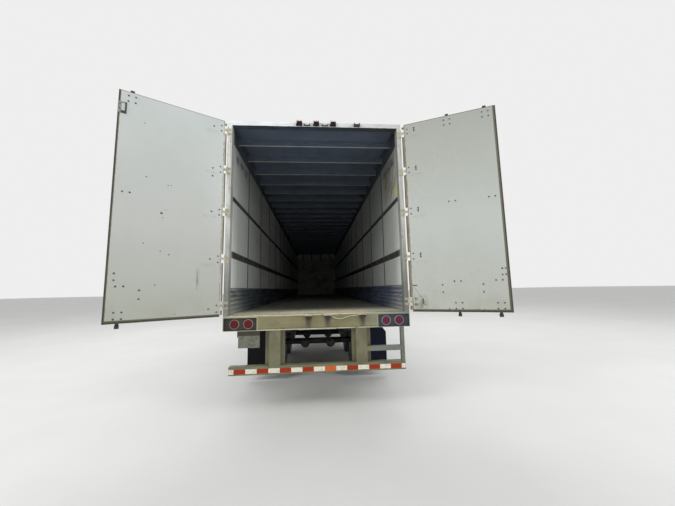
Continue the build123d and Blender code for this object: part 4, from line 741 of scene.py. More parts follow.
def track_steel():
    """Wall tracks: dark galvanised strip with two rows of upright slots, painted near black as
    painted shade, and painted light low at the opening's edge.
    """
    look = Look("track_steel")
    across, forward, up = look.axes()
    # Painted shade: the slots' holes near black.
    slot = forward.repeat(SLOT_PITCH, REAR).band(0.36, 0.64, 0.03)
    rows = ((TRACK_HIGH - 0.0375, 0.021), (TRACK_LOW + 0.0525, 0.030))
    slot *= reduce(or_, [up.band(z - half, z + half, 0.002) for z, half in rows])
    cloud = look.noise((0.3, 0.3, 0.08), 6).span(0.35, 0.68)
    look.color = look.mix(cloud, (100, 104, 102), (74, 76, 74))
    # Painted light: the tracks bright low at the opening's edge.
    end = forward.span(REAR + 0.12, REAR + 0.32, 0.7, 0.0) * (up < FLOOR + 1.3)
    look.coat(end, (196, 200, 196))
    look.coat(slot, (24, 24, 24))
    return look.done(cloud.between(0.4, 0.62), 0.45, slot.span(1, 0), 0.002)


def deck_boards():
    """Laminated hardwood strips along the deck, dirty within, paler deeper in as painted light,
    and pale at the rear with dust and painted light.
    """
    look = Look("deck_boards")
    across, forward, up = look.axes()
    strip = (across / STRIP).step("FLOOR")
    piece = ((forward + strip * 0.37) / 0.9).step("FLOOR")
    tone = look.node("ShaderNodeTexWhiteNoise", noise_dimensions="2D")
    look.put(tone.inputs["Vector"], look.joined(strip, piece))
    tone = Value(look, tone.outputs["Value"])
    look.color = look.mix(tone, (140, 134, 118), (114, 110, 98))
    grain = look.noise((0.006, 0.4, 0.02)).span(0.35, 0.65)
    look.coat(grain * 0.35, (76, 73, 64))
    dirt = look.noise((0.5, 0.9, 0.5), 6).span(0.3, 0.62)
    look.coat(dirt * 0.7, (118, 124, 122))
    # Painted light: the deck paler from 1.8 m in onwards.
    look.coat(forward.span(REAR + 1.8, REAR + 4.0, 0.0, 0.5), (196, 190, 172))
    # Dust and painted light: pale patches near the rear, where light falls in at the opening.
    dust = forward.span(REAR + 1.3, REAR + 0.5) * dirt.between(0.85, 1.0)
    look.coat(dust * 0.95, (246, 239, 206))
    gap = across.repeat(BOARD).band(0.0, 0.012, 0.004)
    look.coat(gap, (16, 14, 12))
    return look.done(dirt.between(0.5, 0.72), 0.0, grain - gap, 0.0012)


def plywood():
    """Pale plywood lining with a soft grain and brown scrapes."""
    look = Look("plywood")
    grain = look.noise((0.9, 0.02, 0.03), 5).span(0.35, 0.65)
    look.color = look.mix(grain, (214, 212, 198), (190, 186, 170))
    scuff = look.noise((0.5, 0.2, 0.4), 6).span(0.5, 0.7)
    look.coat(scuff * 0.5, (110, 100, 84))
    return look.done(scuff.between(0.6, 0.75), 0.0, grain, 0.0006)


def threshold_wear():
    """Steel entry plate worn bright in lanes and dusty, and greyer to the curb."""
    look = Look("threshold_wear")
    cloud = look.noise((0.12, 0.06, 0.1), 6).span(0.36, 0.64)
    look.color = look.mix(cloud, (238, 231, 204), (206, 198, 170))
    lane = look.noise((0.25, 0.5, 1), 3).span(0.45, 0.62)
    scratch = look.noise((0.006, 0.14, 0.1), 3).span(0.54, 0.62)
    look.coat(lane * scratch, (206, 202, 188))
    look.coat(look.axes()[0].span(0.45, 1.15, 0.0, 0.75), (122, 127, 122))
    return look.done(cloud.between(0.35, 0.65), lane * 0.5, scratch, 0.0004)


def rubber(name, base, dust, share=0.4, gloss=0.5, curb=None, sizes=(0.15, 0.006), matt=0.6):
    """Matt rubber with a bloom of dust. It may take another hue on the curb side."""
    look = Look(name)
    cloud = look.noise(sizes[0], 6).span(0.38, 0.7)
    look.color = look.mix(cloud * share, look.sided(base, curb), dust)
    fine = look.noise(sizes[1], 3)
    return look.done(cloud.between(matt, 0.85), 0.0, fine, 0.0004, Specular_IOR_Level=gloss)


def lens(name, color, deep, curb=None):
    """A moulded lens with small prisms. It may fade to another hue on the curb side."""
    look = Look(name)
    prism = look.cells(0.006)
    look.color = look.mix(prism.span(0.1, 0.7), look.sided(color, curb), deep)
    return look.done(0.3, 0.0, prism, 0.0006, Specular_IOR_Level=0.2, Coat_Weight=0.08)


def plate_paint():
    """A blank plate, dull and dented, on a dark bracket."""
    look = Look("plate_paint")
    grime = look.noise((0.05, 0.05, 0.04), 6).span(0.4, 0.7)
    look.color = look.mix(grime, (118, 119, 106), (84, 85, 72))
    look.coat(look.axes()[1] > PLATE_FACE, look.mix(grime, (62, 61, 50), (48, 46, 38)))
    return look.done(grime.between(0.4, 0.62), 0.3, look.noise((0.07, 0.07, 0.05), 2), 0.012)


def tape(name, color, faded):
    """Reflective tape: a fine honeycomb, scuffed and dirty."""
    look = Look(name)
    cloud = look.noise((0.05, 0.05, 0.02), 6).span(0.42, 0.66)
    look.color = look.mix(cloud * 0.7, color, faded)
    look.coat(look.noise((0.02, 0.02, 0.012), 7, 0.7).span(0.58, 0.66) * 0.6, (92, 78, 50))
    comb = look.cells(0.003, "DISTANCE_TO_EDGE")
    return look.done(cloud.between(0.36, 0.55), 0.0, comb, 0.0002, Specular_IOR_Level=0.25)


def lock_steel():
    """Lock rods: zinc with a dull grain, and dark at the cams."""
    look = Look("lock_steel")
    up = look.axes()[2]
    fine = look.noise((0.02, 0.02, 0.08), 5).span(0.36, 0.66)
    look.color = look.mix(fine, (168, 170, 168), (132, 134, 130))
    ends = up.span(FLOOR + 0.036, FLOOR + 0.030) | up.span(HEADER_LOW - 0.006, HEADER_LOW)
    look.coat(ends, look.mix(fine, (44, 43, 40), (66, 62, 54)))
    return look.done(fine.between(0.4, 0.62), ends.between(0.6, 0.1), fine, 0.0004)


def bow_steel():
    """Roof bows: dusty dark webs, and undersides lighter as painted light from below."""
    look = Look("bow_steel")
    cloud = look.noise((0.2, 0.03, 0.03), 5).span(0.38, 0.66)
    look.color = look.mix(cloud, (98, 108, 124), (84, 93, 108))
    # Painted light: the bows' downward faces pale.
    under = look.rise().span(-0.5, -0.8) * (look.axes()[2] < BOW_LOW + 0.003)
    look.coat(under, look.mix(cloud, (206, 208, 206), (176, 178, 174)))
    return look.done(cloud.between(0.45, 0.65), 0.2, cloud, 0.0003)


def roof_skin():
    """Roof sheet: weathered mill aluminium, streaked at the bows, and slate grey beneath."""
    look = Look("roof_skin")
    across, forward, up = look.axes()
    cloud = look.noise(0.6, 6).span(0.35, 0.68)
    look.color = look.mix(cloud, (204, 207, 208), (176, 179, 178))
    stain = look.noise((0.25, 1.2, 1), 6).span(0.5, 0.72)
    look.coat(stain * 0.5, (140, 138, 128))
    seam = forward.repeat(BOW_PITCH, BOW_BACK).band(0.0, 0.09, 0.02)
    look.coat(seam * 0.3, (120, 118, 110))
    above = up > WALL_TOP + 0.0015
    beneath = look.mix(cloud, (100, 112, 130), (84, 94, 110))
    look.color = look.mix(above, beneath, look.color)
    height = look.noise((0.8, 0.8, 1), 2) + seam * 0.4
    return look.done(stain.between(0.4, 0.65), above * 0.4, height, 0.004)


MILL = ((206, 208, 210), (176, 178, 180), (0.012, 0.5, 0.012))  # colours and grain
DULL = (0.4, 0.64)  # least and most roughness of coated steel
WALL = wall_paint()
ALUMINIUM = bare_metal("mill_aluminium", *MILL)
TOP_RAIL = bare_metal("top_rail_aluminium", *MILL, within=(74, 82, 92))
ZINC = bare_metal("zinc_coat", (170, 172, 172), (134, 136, 134), (0.03, 0.03, 0.05), DULL,
                  0.5, 0.7)
HINGE = bare_metal("hinge_metal", (216, 213, 192), (178, 171, 146), (0.02, 0.02, 0.04), DULL,
                   0.4, 0.1)
PIN_STEEL = bare_metal("forged_steel", (120, 118, 114), (84, 82, 80), 0.02, DULL, 0.6)
CHASSIS = dusty_paint("chassis_paint", (34, 34, 35), (108, 102, 92), (92, 60, 38))
WHEEL = dusty_paint("wheel_paint", (196, 196, 190), (120, 112, 98), (112, 78, 52), 0.8)
RUBBER = rubber("black_rubber", (30, 30, 31), (92, 90, 84))
FLAP = rubber("flap_rubber", (11, 12, 15), (28, 30, 34), 0.4, 0.15, (13, 17, 38))
TYRE = rubber("tyre_rubber", (36, 41, 48), (84, 92, 102), 0.5, sizes=(0.12, 0.004), matt=0.62)
MOULDING = rubber("black_moulding", (30, 30, 32), (62, 60, 60))
RING = rubber("lamp_ring", (136, 118, 104), (160, 144, 128), 0.6, 0.5, (150, 132, 142))
SEAL_RED = rubber("red_seal", (150, 40, 34), (110, 80, 70))
SEAL_BLUE = rubber("blue_seal", (40, 66, 128), (90, 96, 110))
RED = lens("red_lens", (128, 32, 38), (66, 14, 22), (140, 58, 106))
DARK_LENS = lens("dark_lens", (66, 16, 40), (34, 8, 22))
AMBER = lens("amber_lens", (222, 140, 30), (160, 78, 10))
TAPE_RED = tape("red_tape", (158, 46, 14), (126, 52, 22))
TAPE_WHITE = tape("white_tape", (232, 228, 212), (184, 176, 156))
TAPE_OLD = tape("faded_tape", (206, 92, 34), (190, 106, 60))
JOINT_STRIP = worn_paint("strip_paint", (60, 64, 66), (78, 80, 80), (130, 130, 124))
BOLT_DARK = worn_paint("bolt_dark", (58, 55, 42), (44, 42, 33), (120, 112, 90), 0.4, 0.02)
BOLT_RUST = worn_paint("bolt_rust", (104, 94, 74), (84, 74, 56), (76, 50, 32), 0.8, 0.02)
CREAM = worn_paint("cream_wire", (206, 200, 172), (184, 178, 148), (110, 96, 70), 0.4, 0.03)
HOOD = worn_paint("lamp_hood", (226, 214, 202), (206, 194, 180), (96, 88, 74), 0.5, 0.03)
SEAL_HUES = {  # at the top, along the strip and at the lip
    "left": ((150, 136, 118), (206, 206, 194), (186, 180, 158)),
    "right": ((84, 80, 60), (166, 154, 130), (166, 152, 126)),
}

FINISHES = {
    "side_panels_left side_panels_right front_wall": WALL, "roof_sheet": roof_skin(),
    "rear_sill": sill_paint(), "rear_guard": guard_paint(), "rear_posts": post_paint(),
    "rear_header": header_paint(), "keepers": keeper_paint(), "bottom_rails": ALUMINIUM,
    "top_rails": TOP_RAIL, "hinge_butts door_hinges_left door_hinges_right": HINGE,
    "lock_rods_left lock_rods_right": lock_steel(), "roof_bows": bow_steel(),
    "service_panel": ZINC, "air_springs": RUBBER, "mud_flaps": FLAP, "kingpin": PIN_STEEL,
    "scuff_liner_left scuff_liner_right": liner_paint(), "joint_strips": JOINT_STRIP,
    "wall_tracks_left wall_tracks_right": track_steel(), "floor_deck": deck_boards(),
    "front_lining": plywood(), "threshold": threshold_wear(), "number_plate": plate_paint(),
    "tail_lamps": RED, "header_lamps": MOULDING, "side_lamps": AMBER,
    "floor_beams coupler landing_legs landing_shaft landing_shoes landing_braces": CHASSIS,
    "slide_rails slider_frame trailing_arms axles air_tank brake_chambers": CHASSIS,
}
for side, side_name in SIDES:
    FINISHES[f"door_{side_name}"] = door_paint(side_name)
    FINISHES[f"door_seal_{side_name}"] = seal_rubber(side_name, *SEAL_HUES[side_name])
    for axle in AXLES:
        FINISHES[f"tyres_{axle}_{side_name}"] = TYRE
        FINISHES[f"wheel_{axle}_{side_name}"] = WHEEL
for names, finish in FINISHES.items():
    for node in names.split():
        holder = frame["nodes"][node]
        if not holder.material_slots:
            holder.data.materials.append(finish)
        for slot in holder.material_slots:
            slot.material = finish


# Fittings
DOME = [(0.0, 0.62), (0.45, 0.56), (0.8, 0.36), (1.0, 0.0)]  # radius and height of a round head


def head(shape, place, outward, radius=BOLT, count=10, mark=0):
    """A round bolt or rivet head."""
    shape.lathe([(r * radius, h * radius) for r, h in DOME], count, mark, at(place, outward))


def washer_head(shape, place, outward, radius=BOLT, mark=0, washer=0):
    """A round head on a wider thin washer of its own finish."""
    profile = [(r * radius, h * radius + radius * 0.2) for r, h in DOME]
    profile += [(1.38 * radius, 0.2 * radius), (1.42 * radius, 0.0)]
    marks = [mark] * (len(DOME) - 1) + [washer, washer]
    shape.lathe(profile, 12, mark, at(place, outward), marks)


def hex_nut(shape, place, outward, across_flats, height):
    """A nut with cut corners on a flange, and the end of its stud."""
    move = at(place, outward, random.random())
    radius = across_flats / math.sqrt(3)
    shape.lathe([(radius * 1.25, 0), (radius * 1.2, height * 0.2)], 16, 0, move)
    shape.lathe([(radius * 1.2, height * 0.2), (radius * 0.9, height * 0.25)], 16, 0, move)
    sides = circle(radius, 6)
    shape.prism(sides, height * 0.2, height * 0.85, 0, move)
    shape.prism([(a * 0.9, b * 0.9) for a, b in sides], height * 0.85, height, 0, move)
    stud = [(0.0, height * 1.5), (radius * 0.5, height * 1.45), (radius * 0.55, height)]
    shape.lathe(stud, 10, 0, move)


random.seed(4)

# Bolts seen on the doors' inner faces: from the middle, and heights above the deck
ROD_HEADS = {
    "left": (2.722, 2.650, 1.523, 0.423, 0.134, 0.061),
    "right": (2.714, 2.642, 1.516, 0.418, 0.132, 0.058),
}
INNER_HEADS = {
    "left": (
        (1.181, (2.690, 2.611, 2.076, 1.997, 1.460, 1.385, 0.817, 0.732, 0.161, 0.075)),
        (1.080, (2.652, 2.036, 1.924, 1.422, 0.775, 0.117)),
        (0.172, ROD_HEADS["left"]),
        (0.100, ROD_HEADS["left"]),
        (0.323, (0.377, 0.276)),
        (0.080, (0.569, 0.492)),
    ),
    "right": (
        (1.179, (2.696, 2.626, 2.100, 2.020, 1.480, 1.400, 0.824, 0.746, 0.190, 0.112)),
        (0.662, ROD_HEADS["right"]),
        (0.581, ROD_HEADS["right"]),
        (0.168, ROD_HEADS["right"]),
        (0.093, ROD_HEADS["right"]),
        (0.8125, (0.374, 0.275)),
        (0.316, (0.371, 0.271)),
        (0.088, (0.566, 0.488)),
        (0.0485, (0.566, 0.488)),
    ),
}
SMALL_HEADS = (1.079, (0.030, 0.006, -0.018))  # on the right door, about each hinge
STRAP_HEADS = ((1.18, 1.10), (-0.034, 0.034))  # from the middle, and about each hinge
GUIDE_HEADS = ((-0.038, 0.038), (-0.024, 0.024))  # about a guide
CATCH_HEADS = (0.275, 0.367)


def door_bolts():
    """Round heads on both faces of each door, where hinges, guides and catches bolt through."""
    for side, side_name in SIDES:
        shape = Shape()
        for x, heights in INNER_HEADS[side_name]:
            for z in heights:
                place = (side * x, REAR + PANEL, FLOOR + z)
                washer_head(shape, place, (0, 1, 0), BOLT, random.choice((0, 0, 1)), 2)
        if side_name == "right":
            for z in [hinge + dz for hinge in HINGES for dz in SMALL_HEADS[1]]:
                head(shape, (side * SMALL_HEADS[0], REAR + PANEL, FLOOR + z), (0, 1, 0), 0.011)
        outer = [(x, hinge + dz, REAR - STRAP)
                 for hinge in HINGES for x in STRAP_HEADS[0] for dz in STRAP_HEADS[1]]
        for rod in RODS[side_name]:
            outer += [(rod + dx, z + dz, REAR - GUIDE_BASE)
                      for z in GUIDES for dx in GUIDE_HEADS[0] for dz in GUIDE_HEADS[1]]
            outer += [(rod + CATCH_OUT, z, REAR - GUIDE_BASE) for z in CATCH_HEADS]
        for x, z, y in outer:
            washer_head(shape, (side * x, y, FLOOR + z), (0, -1, 0), BOLT, 2, 2)
        shape.carry(door_move(side_name))
        finishes = [BOLT_DARK, BOLT_RUST, ZINC]
        shape.made(f"door_bolts_{side_name}", f"{side_name}_door", finishes, "galvanised")


def edge_clip():
    """A folded clip round the left door's free edge: its inner leaf is an open frame."""
    shape = Shape()
    edge, plate, bar, back = -0.001, -0.035, -0.072, -0.088
    thick = 0.004
    near, face = REAR - 0.018, REAR + PANEL
    far = face + thick
    outline = [(plate, far), (edge, far), (edge, near), (back, near), (back, near + thick),
               (edge - thick, near + thick), (edge - thick, face), (plate, face)]
    z = (FLOOR + 2.480, FLOOR + 2.622)
    shape.prism(outline, *z)
    shape.block((back, bar), (face, far + thick), z, 1)
    shape.block((bar, plate), (face, far + thick), (z[0], z[0] + 0.030), 1)
    shape.block((bar, plate), (face, far), (z[1] - 0.010, z[1]))
    for height in (z[0] + 0.05, z[1] - 0.03):
        head(shape, (-0.020, far, height), (0, 1, 0), 0.008, mark=1)
    shape.carry(door_move("left"))
    shape.made("edge_clip", "left_door", [ZINC, BOLT_DARK], "galvanised")


def guard_tape():
    """Red and white blocks along the guard bar, with a short white end at each side."""
    shape = Shape()
    y = (REAR - TAPE, REAR)
    x0, x1 = low("rear_guard").x, high("rear_guard").x
    x = x0 + 0.070
    shape.block((x0 + 0.004, x - 0.0015), y, TAPE_BAND, 1)
    for i in range(15):
        mark = 2 if i == 8 else i % 2
        shape.block((x + 0.001, x + TAPE_BLOCK - 0.001), y, TAPE_BAND, mark)
        x += TAPE_BLOCK
    shape.block((x + 0.001, x1 - 0.004), y, TAPE_BAND, 1)
    shape.made("guard_tape", "box", [TAPE_RED, TAPE_WHITE, TAPE_OLD], "lens_red")


def side_tape():
    """Red and white tape in lengths along both bottom rails."""
    shape = Shape()
    z = (FLOOR - 0.062, FLOOR - 0.012)
    for side, side_name in SIDES:
        x = (side * HALF, side * (HALF + TAPE))
        for y in steps(REAR + 0.3, WALL_FRONT - 0.3 - 4 * TAPE_BLOCK, 8 * TAPE_BLOCK):
            for i in range(4):
                start = y + i * TAPE_BLOCK
                shape.block(x, (start, start + TAPE_BLOCK - 0.002), z, i % 2)
    shape.made("side_tape", "box", [TAPE_RED, TAPE_WHITE], "lens_red")


LAMP_PITCH = 0.1865
LAMP_GLASS = [  # radius and height of a tail lamp's lens
    (0.0555, 0.004), (0.0545, 0.012), (0.052, 0.015), (0.049, 0.0145), (0.046, 0.016),
    (0.030, 0.0185), (0.026, 0.0178), (0.012, 0.0195), (0.0, 0.0198),
]


def tail_lamps():
    """Round lamps in their pans: a rubber ring and a domed lens with two rims."""
    shape = Shape()
    lo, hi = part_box("tail_lamps")
    ring = (hi.z - lo.z) / 2
    body = [(ring, 0.0), (ring, 0.006), (ring - 0.004, 0.012), (0.060, 0.013), (0.056, 0.009),
            LAMP_GLASS[0]]
    for x in (lo.x + ring, lo.x + ring + LAMP_PITCH, hi.x - ring - LAMP_PITCH, hi.x - ring):
        move = at((x, hi.y, (lo.z + hi.z) / 2), (0, -1, 0))
        shape.lathe(body, 40, 1, move)
        shape.lathe(LAMP_GLASS, 40, 0, move)
    lamps = shape.made("tail_lamp_lenses", "box", [RED, RING], "lens_red")
    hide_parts("tail_lamps")


def header_lamps():
    """Three lamps, each in an open folded box under a worn bright hood."""
    shape = Shape()
    lo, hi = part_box("header_lamps")
    width, plate, lip = 0.090, 0.003, 0.017
    front = (lo.y, lo.y + plate)
    upright = (lo.z + plate, hi.z - 2 * plate)
    for x in (lo.x, -width / 2, hi.x - width):
        sides = (x, x + width)
        shape.block(sides, (lo.y + plate, hi.y), (upright[1], hi.z), 2)
        shape.block(sides, front, (hi.z - lip, hi.z), 2)
        shape.block((x, x + 0.010), front, (lo.z + 0.024, hi.z - lip), 2)
        shape.block(sides, (lo.y + 2 * plate, hi.y), (lo.z, lo.z + plate))
        for edge in (sides[0], sides[1] - plate):
            shape.block((edge, edge + plate), (lo.y + plate, hi.y), upright)
        shape.block((x + plate, x + width - plate), (hi.y - 0.004, hi.y), upright)
        shape.block((x + 0.014, x + width - 0.014), (hi.y - 0.018, hi.y - 0.004),
                    (lo.z + 0.016, hi.z - 0.026), 1, 0.003)
    boxes = shape.made("header_lamp_boxes", "box", [MOULDING, DARK_LENS, HOOD], "lens_red")
    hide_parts("header_lamps")


TYRE_HALF = 0.138  # half a tyre's width
LUGS = 96
LUG_BASE = 0.4905  # radius at a lug's foot
LUG_HALF = 0.007
TREAD_PROFILE = [  # across the tyre from its middle, radius
    (0.0, 0.507), (0.016, 0.507), (0.018, 0.495), (0.026, 0.495), (0.028, 0.5068),
    (0.060, 0.5062), (0.062, 0.494), (0.070, 0.494), (0.072, 0.5055), (0.104, 0.503),
    (0.112, 0.500), (0.118, 0.494), (0.1245, 0.480), (0.129, 0.462), (0.1335, 0.440),
    (0.1355, 0.420), (0.1375, 0.400), (0.1375, 0.392), (0.1355, 0.380), (0.133, 0.362),
    (0.128, 0.346), (0.1205, 0.330), (0.1165, 0.328), (0.1125, 0.318), (0.108, 0.312),
    (0.1045, 0.302), (0.101, 0.298), (0.0965, 0.2865), (0.0, 0.2863),
]
SHOULDER_LUG = ((0.106, 0.0), (0.1215, 0.0), (0.119, 0.010), (0.106, 0.013))  # across, height
LUG_FACES = [[3, 2, 1, 0], [4, 5, 6, 7], [0, 1, 5, 4], [1, 2, 6, 5], [2, 3, 7, 6], [3, 0, 4, 7]]


def tyres():
    """Tyres with ribs, grooves, rings on the walls and a bead, each pair over its solid."""
    half = [(r, d) for d, r in TREAD_PROFILE]
    profile = [(r, -d) for r, d in reversed(half)] + half[1:]
    lugs = [[(way * a, y, LUG_BASE + b) for y in (-LUG_HALF, LUG_HALF) for a, b in SHOULDER_LUG]
            for way in (-1, 1)]
    for axle in AXLES:
        for side, side_name in SIDES:
            node = f"tyres_{axle}_{side_name}"
            lo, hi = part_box(node)
            shape = Shape()
            for x in (lo.x + TYRE_HALF, hi.x - TYRE_HALF):
                centre = (x, (lo.y + hi.y) / 2, (lo.z + hi.z) / 2)
                shape.lathe(profile, LUGS, 0, at(centre, (1, 0, 0)))
                for i in range(LUGS):
                    turn = Matrix.Rotation(2 * math.pi * i / LUGS, 4, "X")
                    for lug in lugs:
                        shape.add(lug, LUG_FACES, move=Matrix.Translation(centre) @ turn)
            body = f"{axle}_{side_name}_wheels"
            tyre = shape.made(f"tread_{axle}_{side_name}", body, [TYRE], "tyre_rubber")
            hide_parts(node)


NUT_FACE = 0.984 + 0.011  # from the middle to the nuts' seat
CAP_FACE = 0.984 + 0.118  # and to the hub cap's face
NUT_CIRCLE = 0.1429
CAP_CIRCLE = 0.052


def wheel_nuts():
    """Ten flange nuts on each outer wheel, the hub cap's screws and window, and the valve."""
    for axle in AXLES:
        for side, side_name in SIDES:
            lo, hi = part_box(f"wheel_{axle}_{side_name}")
            centre = Vector((0, (lo.y + hi.y) / 2, (lo.z + hi.z) / 2))
            face, cap, outward = side * NUT_FACE, side * CAP_FACE, (side, 0, 0)
            shape = Shape()
            for i in range(10):
                angle = math.pi * (0.1 + i / 5)
                off = (face, NUT_CIRCLE * math.cos(angle), NUT_CIRCLE * math.sin(angle))
                hex_nut(shape, centre + Vector(off), outward, 0.033, 0.028)
            for a, b in circle(CAP_CIRCLE, 6):
                head(shape, centre + Vector((cap, a, b)), outward, 0.007)
            window = [(0.0, 0.012), (0.020, 0.011), (0.030, 0.006), (0.034, 0.0)]
            shape.lathe(window, 24, 1, at(centre + Vector((cap, 0, 0)), outward))
            stem = [(-0.002, 0.176, 0.05), (0.03, 0.19, 0.053), (0.09, 0.2, 0.055)]
            shape.tube([centre + Vector((face + side * x, y, z)) for x, y, z in stem], 0.004)
            body = f"{axle}_{side_name}_wheels"
            shape.made(f"nuts_{axle}_{side_name}", body, [ZINC, MOULDING], "galvanised")


def wall_joints():
    """The places of the wall joints along the box."""
    return steps(REAR + WALL_JOINT, WALL_FRONT - 0.5, WALL_PITCH)


def body_rivets():
    """Rivet rows on the rails, the outside wall joints and the nose."""
    shape = Shape()
    for side, side_name in SIDES:
        out = (side, 0, 0)
        for y in steps(REAR + 0.16, WALL_FRONT - 0.05, RIVET_PITCH):
            for z in (FLOOR + 0.036, WALL_TOP - 0.090):
                head(shape, (side * HALF, y, z), out, RIVET, 7)
        for y in wall_joints():
            for way in (-0.026, 0.026):
                for z in steps(RAIL_TOP + 0.05, WALL_TOP - 0.14, RIVET_PITCH):
                    head(shape, (side * (WALL_OUT + COVER), y + way, z), out, RIVET, 7)
    for column in range(-4, 5):
        for z in steps(FLOOR + 0.3, WALL_TOP - 0.1, SCREW_PITCH):
            head(shape, (column * BOW_PITCH / 2, NOSE, z), (0, 1, 0), RIVET, 7)
    shape.made("body_rivets", "box", [ALUMINIUM], "rail_aluminium")


def joint_covers():
    """Thin strips over the outside of each wall joint."""
    shape = Shape()
    for side, side_name in SIDES:
        x = (side * WALL_OUT, side * (WALL_OUT + COVER))
        for y in wall_joints():
            shape.block(x, (y - 0.04, y + 0.04), (RAIL_TOP, WALL_TOP - 0.106))
    shape.made("joint_covers", "box", [WALL], "white_panel")


def nose_cap():
    """A thin cap over the joint of roof sheet and front wall, round at the wall's corners."""
    shape = Shape()
    inset = 0.001
    radius = NOSE - high("roof_sheet").y - inset
    top = high("front_wall").z
    reach, front = HALF - inset - radius, NOSE - inset - radius
    right = [(reach + a, front + b) for a, b in circle(radius, 32)[:9]]
    left = [(-x, y) for x, y in reversed(right)]
    back = front - 0.03
    outline = [(-reach - radius, back), (reach + radius, back)] + right + left
    shape.prism(outline, top, top + 0.002)
    shape.made("nose_cap", "box", [ALUMINIUM], "galvanised")


def inside_screws():
    """Screws down the wall strips and along the scuff liner."""
    shape = Shape()
    for side, side_name in SIDES:
        inward = (-side, 0, 0)
        for y in wall_joints():
            for z in steps(SCUFF_TOP + 0.06, WALL_TOP - 0.16, SCREW_PITCH):
                for way in (-0.016, 0.016):
                    head(shape, (side * (INNER - 0.0025), y + way, z), inward, 0.005, 6)
        for y in steps(REAR + 0.2, LINING_BACK - 0.1, 0.3048):
            for z in (SCUFF_TOP - 0.012, FLOOR + 0.03):
                head(shape, (side * (INNER - 0.004), y, z), inward, 0.006, 6)
    shape.made("inside_screws", "box", [ZINC], "galvanised")


def sill_wire():
    """A thin bent rod left hanging across the sill, from the middle keeper to the right one."""
    shape = Shape()
    path = [(0.165, 0.050), (0.190, 0.045), (0.215, 0.028), (0.249, 0.014), (0.298, 0.008),
            (0.340, 0.014), (0.380, 0.026), (0.426, 0.040), (0.480, 0.046), (0.534, 0.050),
            (0.585, 0.052)]
    shape.tube([(x, REAR - 0.006, z) for x, z in path], 0.006)
    shape.made("sill_wire", "box", [CREAM], "galvanised")


def plate_bolts():
    """Bolts on the number plate."""
    shape = Shape()
    lo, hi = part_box("number_plate")
    for x in (lo.x + 0.06, hi.x - 0.045):
        washer_head(shape, (x, lo.y, FLOOR - 0.290), (0, -1, 0), 0.006)
    shape.made("plate_bolts", "box", [BOLT_DARK], "galvanised")


def side_lamps():
    """Small lamps along the sides: a black base and a ribbed amber lens."""
    shape = Shape()
    tall = 0.016  # half a lamp's height
    z = low("side_lamps").z + tall
    places = [(y, z) for y in (REAR + 0.4, (REAR + NOSE) / 2, NOSE - 0.4)]
    places.append((NOSE - 0.4, high("side_lamps").z - tall))
    for side, side_name in SIDES:
        base, face, rib = [side * (HALF + out) for out in (0.005, 0.0125, 0.014)]
        for y, z in places:
            shape.block((side * HALF, base), (y - 0.05, y + 0.05), (z - tall, z + tall), 1)
            shape.block((base, face), (y - 0.044, y + 0.044), (z - 0.012, z + 0.012))
            for middle in [y + i * 0.009 for i in range(-4, 5)]:
                shape.block((face, rib), (middle - 0.002, middle + 0.002), (z - 0.011, z + 0.011))
    lamps = shape.made("side_lamp_lenses", "box", [AMBER, MOULDING], "lens_amber")
    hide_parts("side_lamps")


def couplings():
    """Seals on the nose's air couplings, and the socket's hinged cover."""
    shape = Shape()
    lo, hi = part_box("service_panel")
    z = (lo.z + hi.z) / 2
    seal = [(0.026, -0.002), (0.026, 0.006), (0.022, 0.008), (0.012, 0.008), (0.010, 0.0)]
    for x, mark in ((-0.115, 1), (0.115, 2)):
        shape.lathe(seal, 24, mark, at((x, hi.y - 0.008, z), (0, 1, 0)))
    shape.block((-0.04, 0.04), (NOSE + 0.060, NOSE + 0.068), (z + 0.034, z + 0.042))
    shape.tube([(x, NOSE + 0.062, z + 0.038) for x in (-0.034, 0.034)], 0.005)
    shape.made("coupling_seals", "box", [ZINC, SEAL_RED, SEAL_BLUE], "galvanised")


door_bolts()
edge_clip()
guard_tape()
side_tape()
tail_lamps()
header_lamps()
tyres()
wheel_nuts()
joint_covers()
nose_cap()
body_rivets()
inside_screws()
sill_wire()
plate_bolts()
side_lamps()
couplings()


# Camera at the photograph's place
CAMERA_PLACE = (-0.0298, -19.390, 0.4219)
CAMERA_YAW = 0.0757
CAMERA_PITCH = 0.1223
CAMERA_ROLL = -0.0204
CAMERA_LENS = 15.57


def camera():
    """The photograph's camera, from its place, its heading and the lens."""
    data = bpy.data.cameras.new("camera")
    data.sensor_width = 36.0
    data.lens = CAMERA_LENS
    data.clip_end = 300.0
    holder = linked("camera", data)
    yaw, pitch, roll = CAMERA_YAW, CAMERA_PITCH, CAMERA_ROLL
    level = Vector((math.sin(yaw), math.cos(yaw), 0)) * math.cos(pitch)
    ahead = level + Vector((0, 0, math.sin(pitch)))
    right = Vector((math.cos(yaw), -math.sin(yaw), 0))
    up = right.cross(ahead)
    tilted_right = right * math.cos(roll) + up * math.sin(roll)
    tilted_up = up * math.cos(roll) - right * math.sin(roll)
    turn = Matrix((tilted_right, tilted_up, -ahead)).transposed().to_4x4()
    holder.matrix_world = Matrix.Translation(CAMERA_PLACE) @ turn
    bpy.context.scene.camera = holder


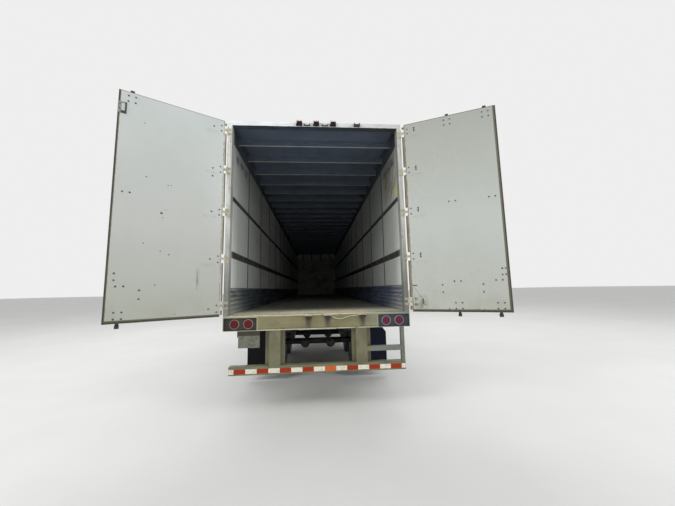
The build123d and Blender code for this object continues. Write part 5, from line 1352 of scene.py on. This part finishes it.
def lamp(name, place, target, width, height, power):
    """A soft area lamp aimed at a point."""
    data = bpy.data.lights.new(name, "AREA")
    data.shape = "RECTANGLE"
    data.size = width
    data.size_y = height
    data.energy = power
    holder = linked(name, data)
    holder.location = place
    aim = Vector(target) - Vector(place)
    holder.rotation_euler = aim.to_track_quat("-Z", "Y").to_euler()


FLOOR_REACH = 160.0
WORLD_LIGHT = 0.62  # strength as light, and as seen and reflected
WORLD_SEEN = 0.86


def studio():
    """A pale floor, an even pale world and soft lamps."""
    mesh = bpy.data.meshes.new("floor")
    corners = ((-1, -1), (1, -1), (1, 1), (-1, 1))
    mesh.from_pydata([(a * FLOOR_REACH, b * FLOOR_REACH, GROUND) for a, b in corners], [],
                     [(0, 1, 2, 3)])
    floor = linked("floor", mesh)
    look = Look("floor_finish")
    cloud = look.noise(2.5).span(0.35, 0.65)
    look.color = look.mix(cloud, (217.85, 217.85, 216.46), (223.28, 223.28, 221.94))
    mesh.materials.append(look.done(0.7))
    world = bpy.data.worlds.new("world")
    bpy.context.scene.world = world
    world.use_nodes = True
    nodes, links = world.node_tree.nodes, world.node_tree.links
    background = nodes["Background"]
    path = nodes.new("ShaderNodeLightPath")
    shown = nodes.new("ShaderNodeMath")
    shown.operation = "MAXIMUM"
    links.new(path.outputs["Is Camera Ray"], shown.inputs[0])
    links.new(path.outputs["Is Glossy Ray"], shown.inputs[1])
    shade = nodes.new("ShaderNodeMapRange")
    links.new(shown.outputs[0], shade.inputs["Value"])
    shade.inputs["To Min"].default_value = WORLD_LIGHT
    shade.inputs["To Max"].default_value = WORLD_SEEN
    background.inputs["Color"].default_value = (1.0, 1.0, 1.0, 1)
    links.new(shade.outputs["Result"], background.inputs["Strength"])
    lamp("key", (-11, REAR - 7, 8.5), (0, REAR, 0.8), 7, 6, 900)
    lamp("fill", (12, REAR - 7, 7.0), (0.5, REAR, 0.8), 7, 6, 800)
    lamp("over", (0, -7, 11), (0, -7, 0), 18, 8, 900)


camera()
studio()
bpy.context.scene.view_settings.view_transform = "Standard"
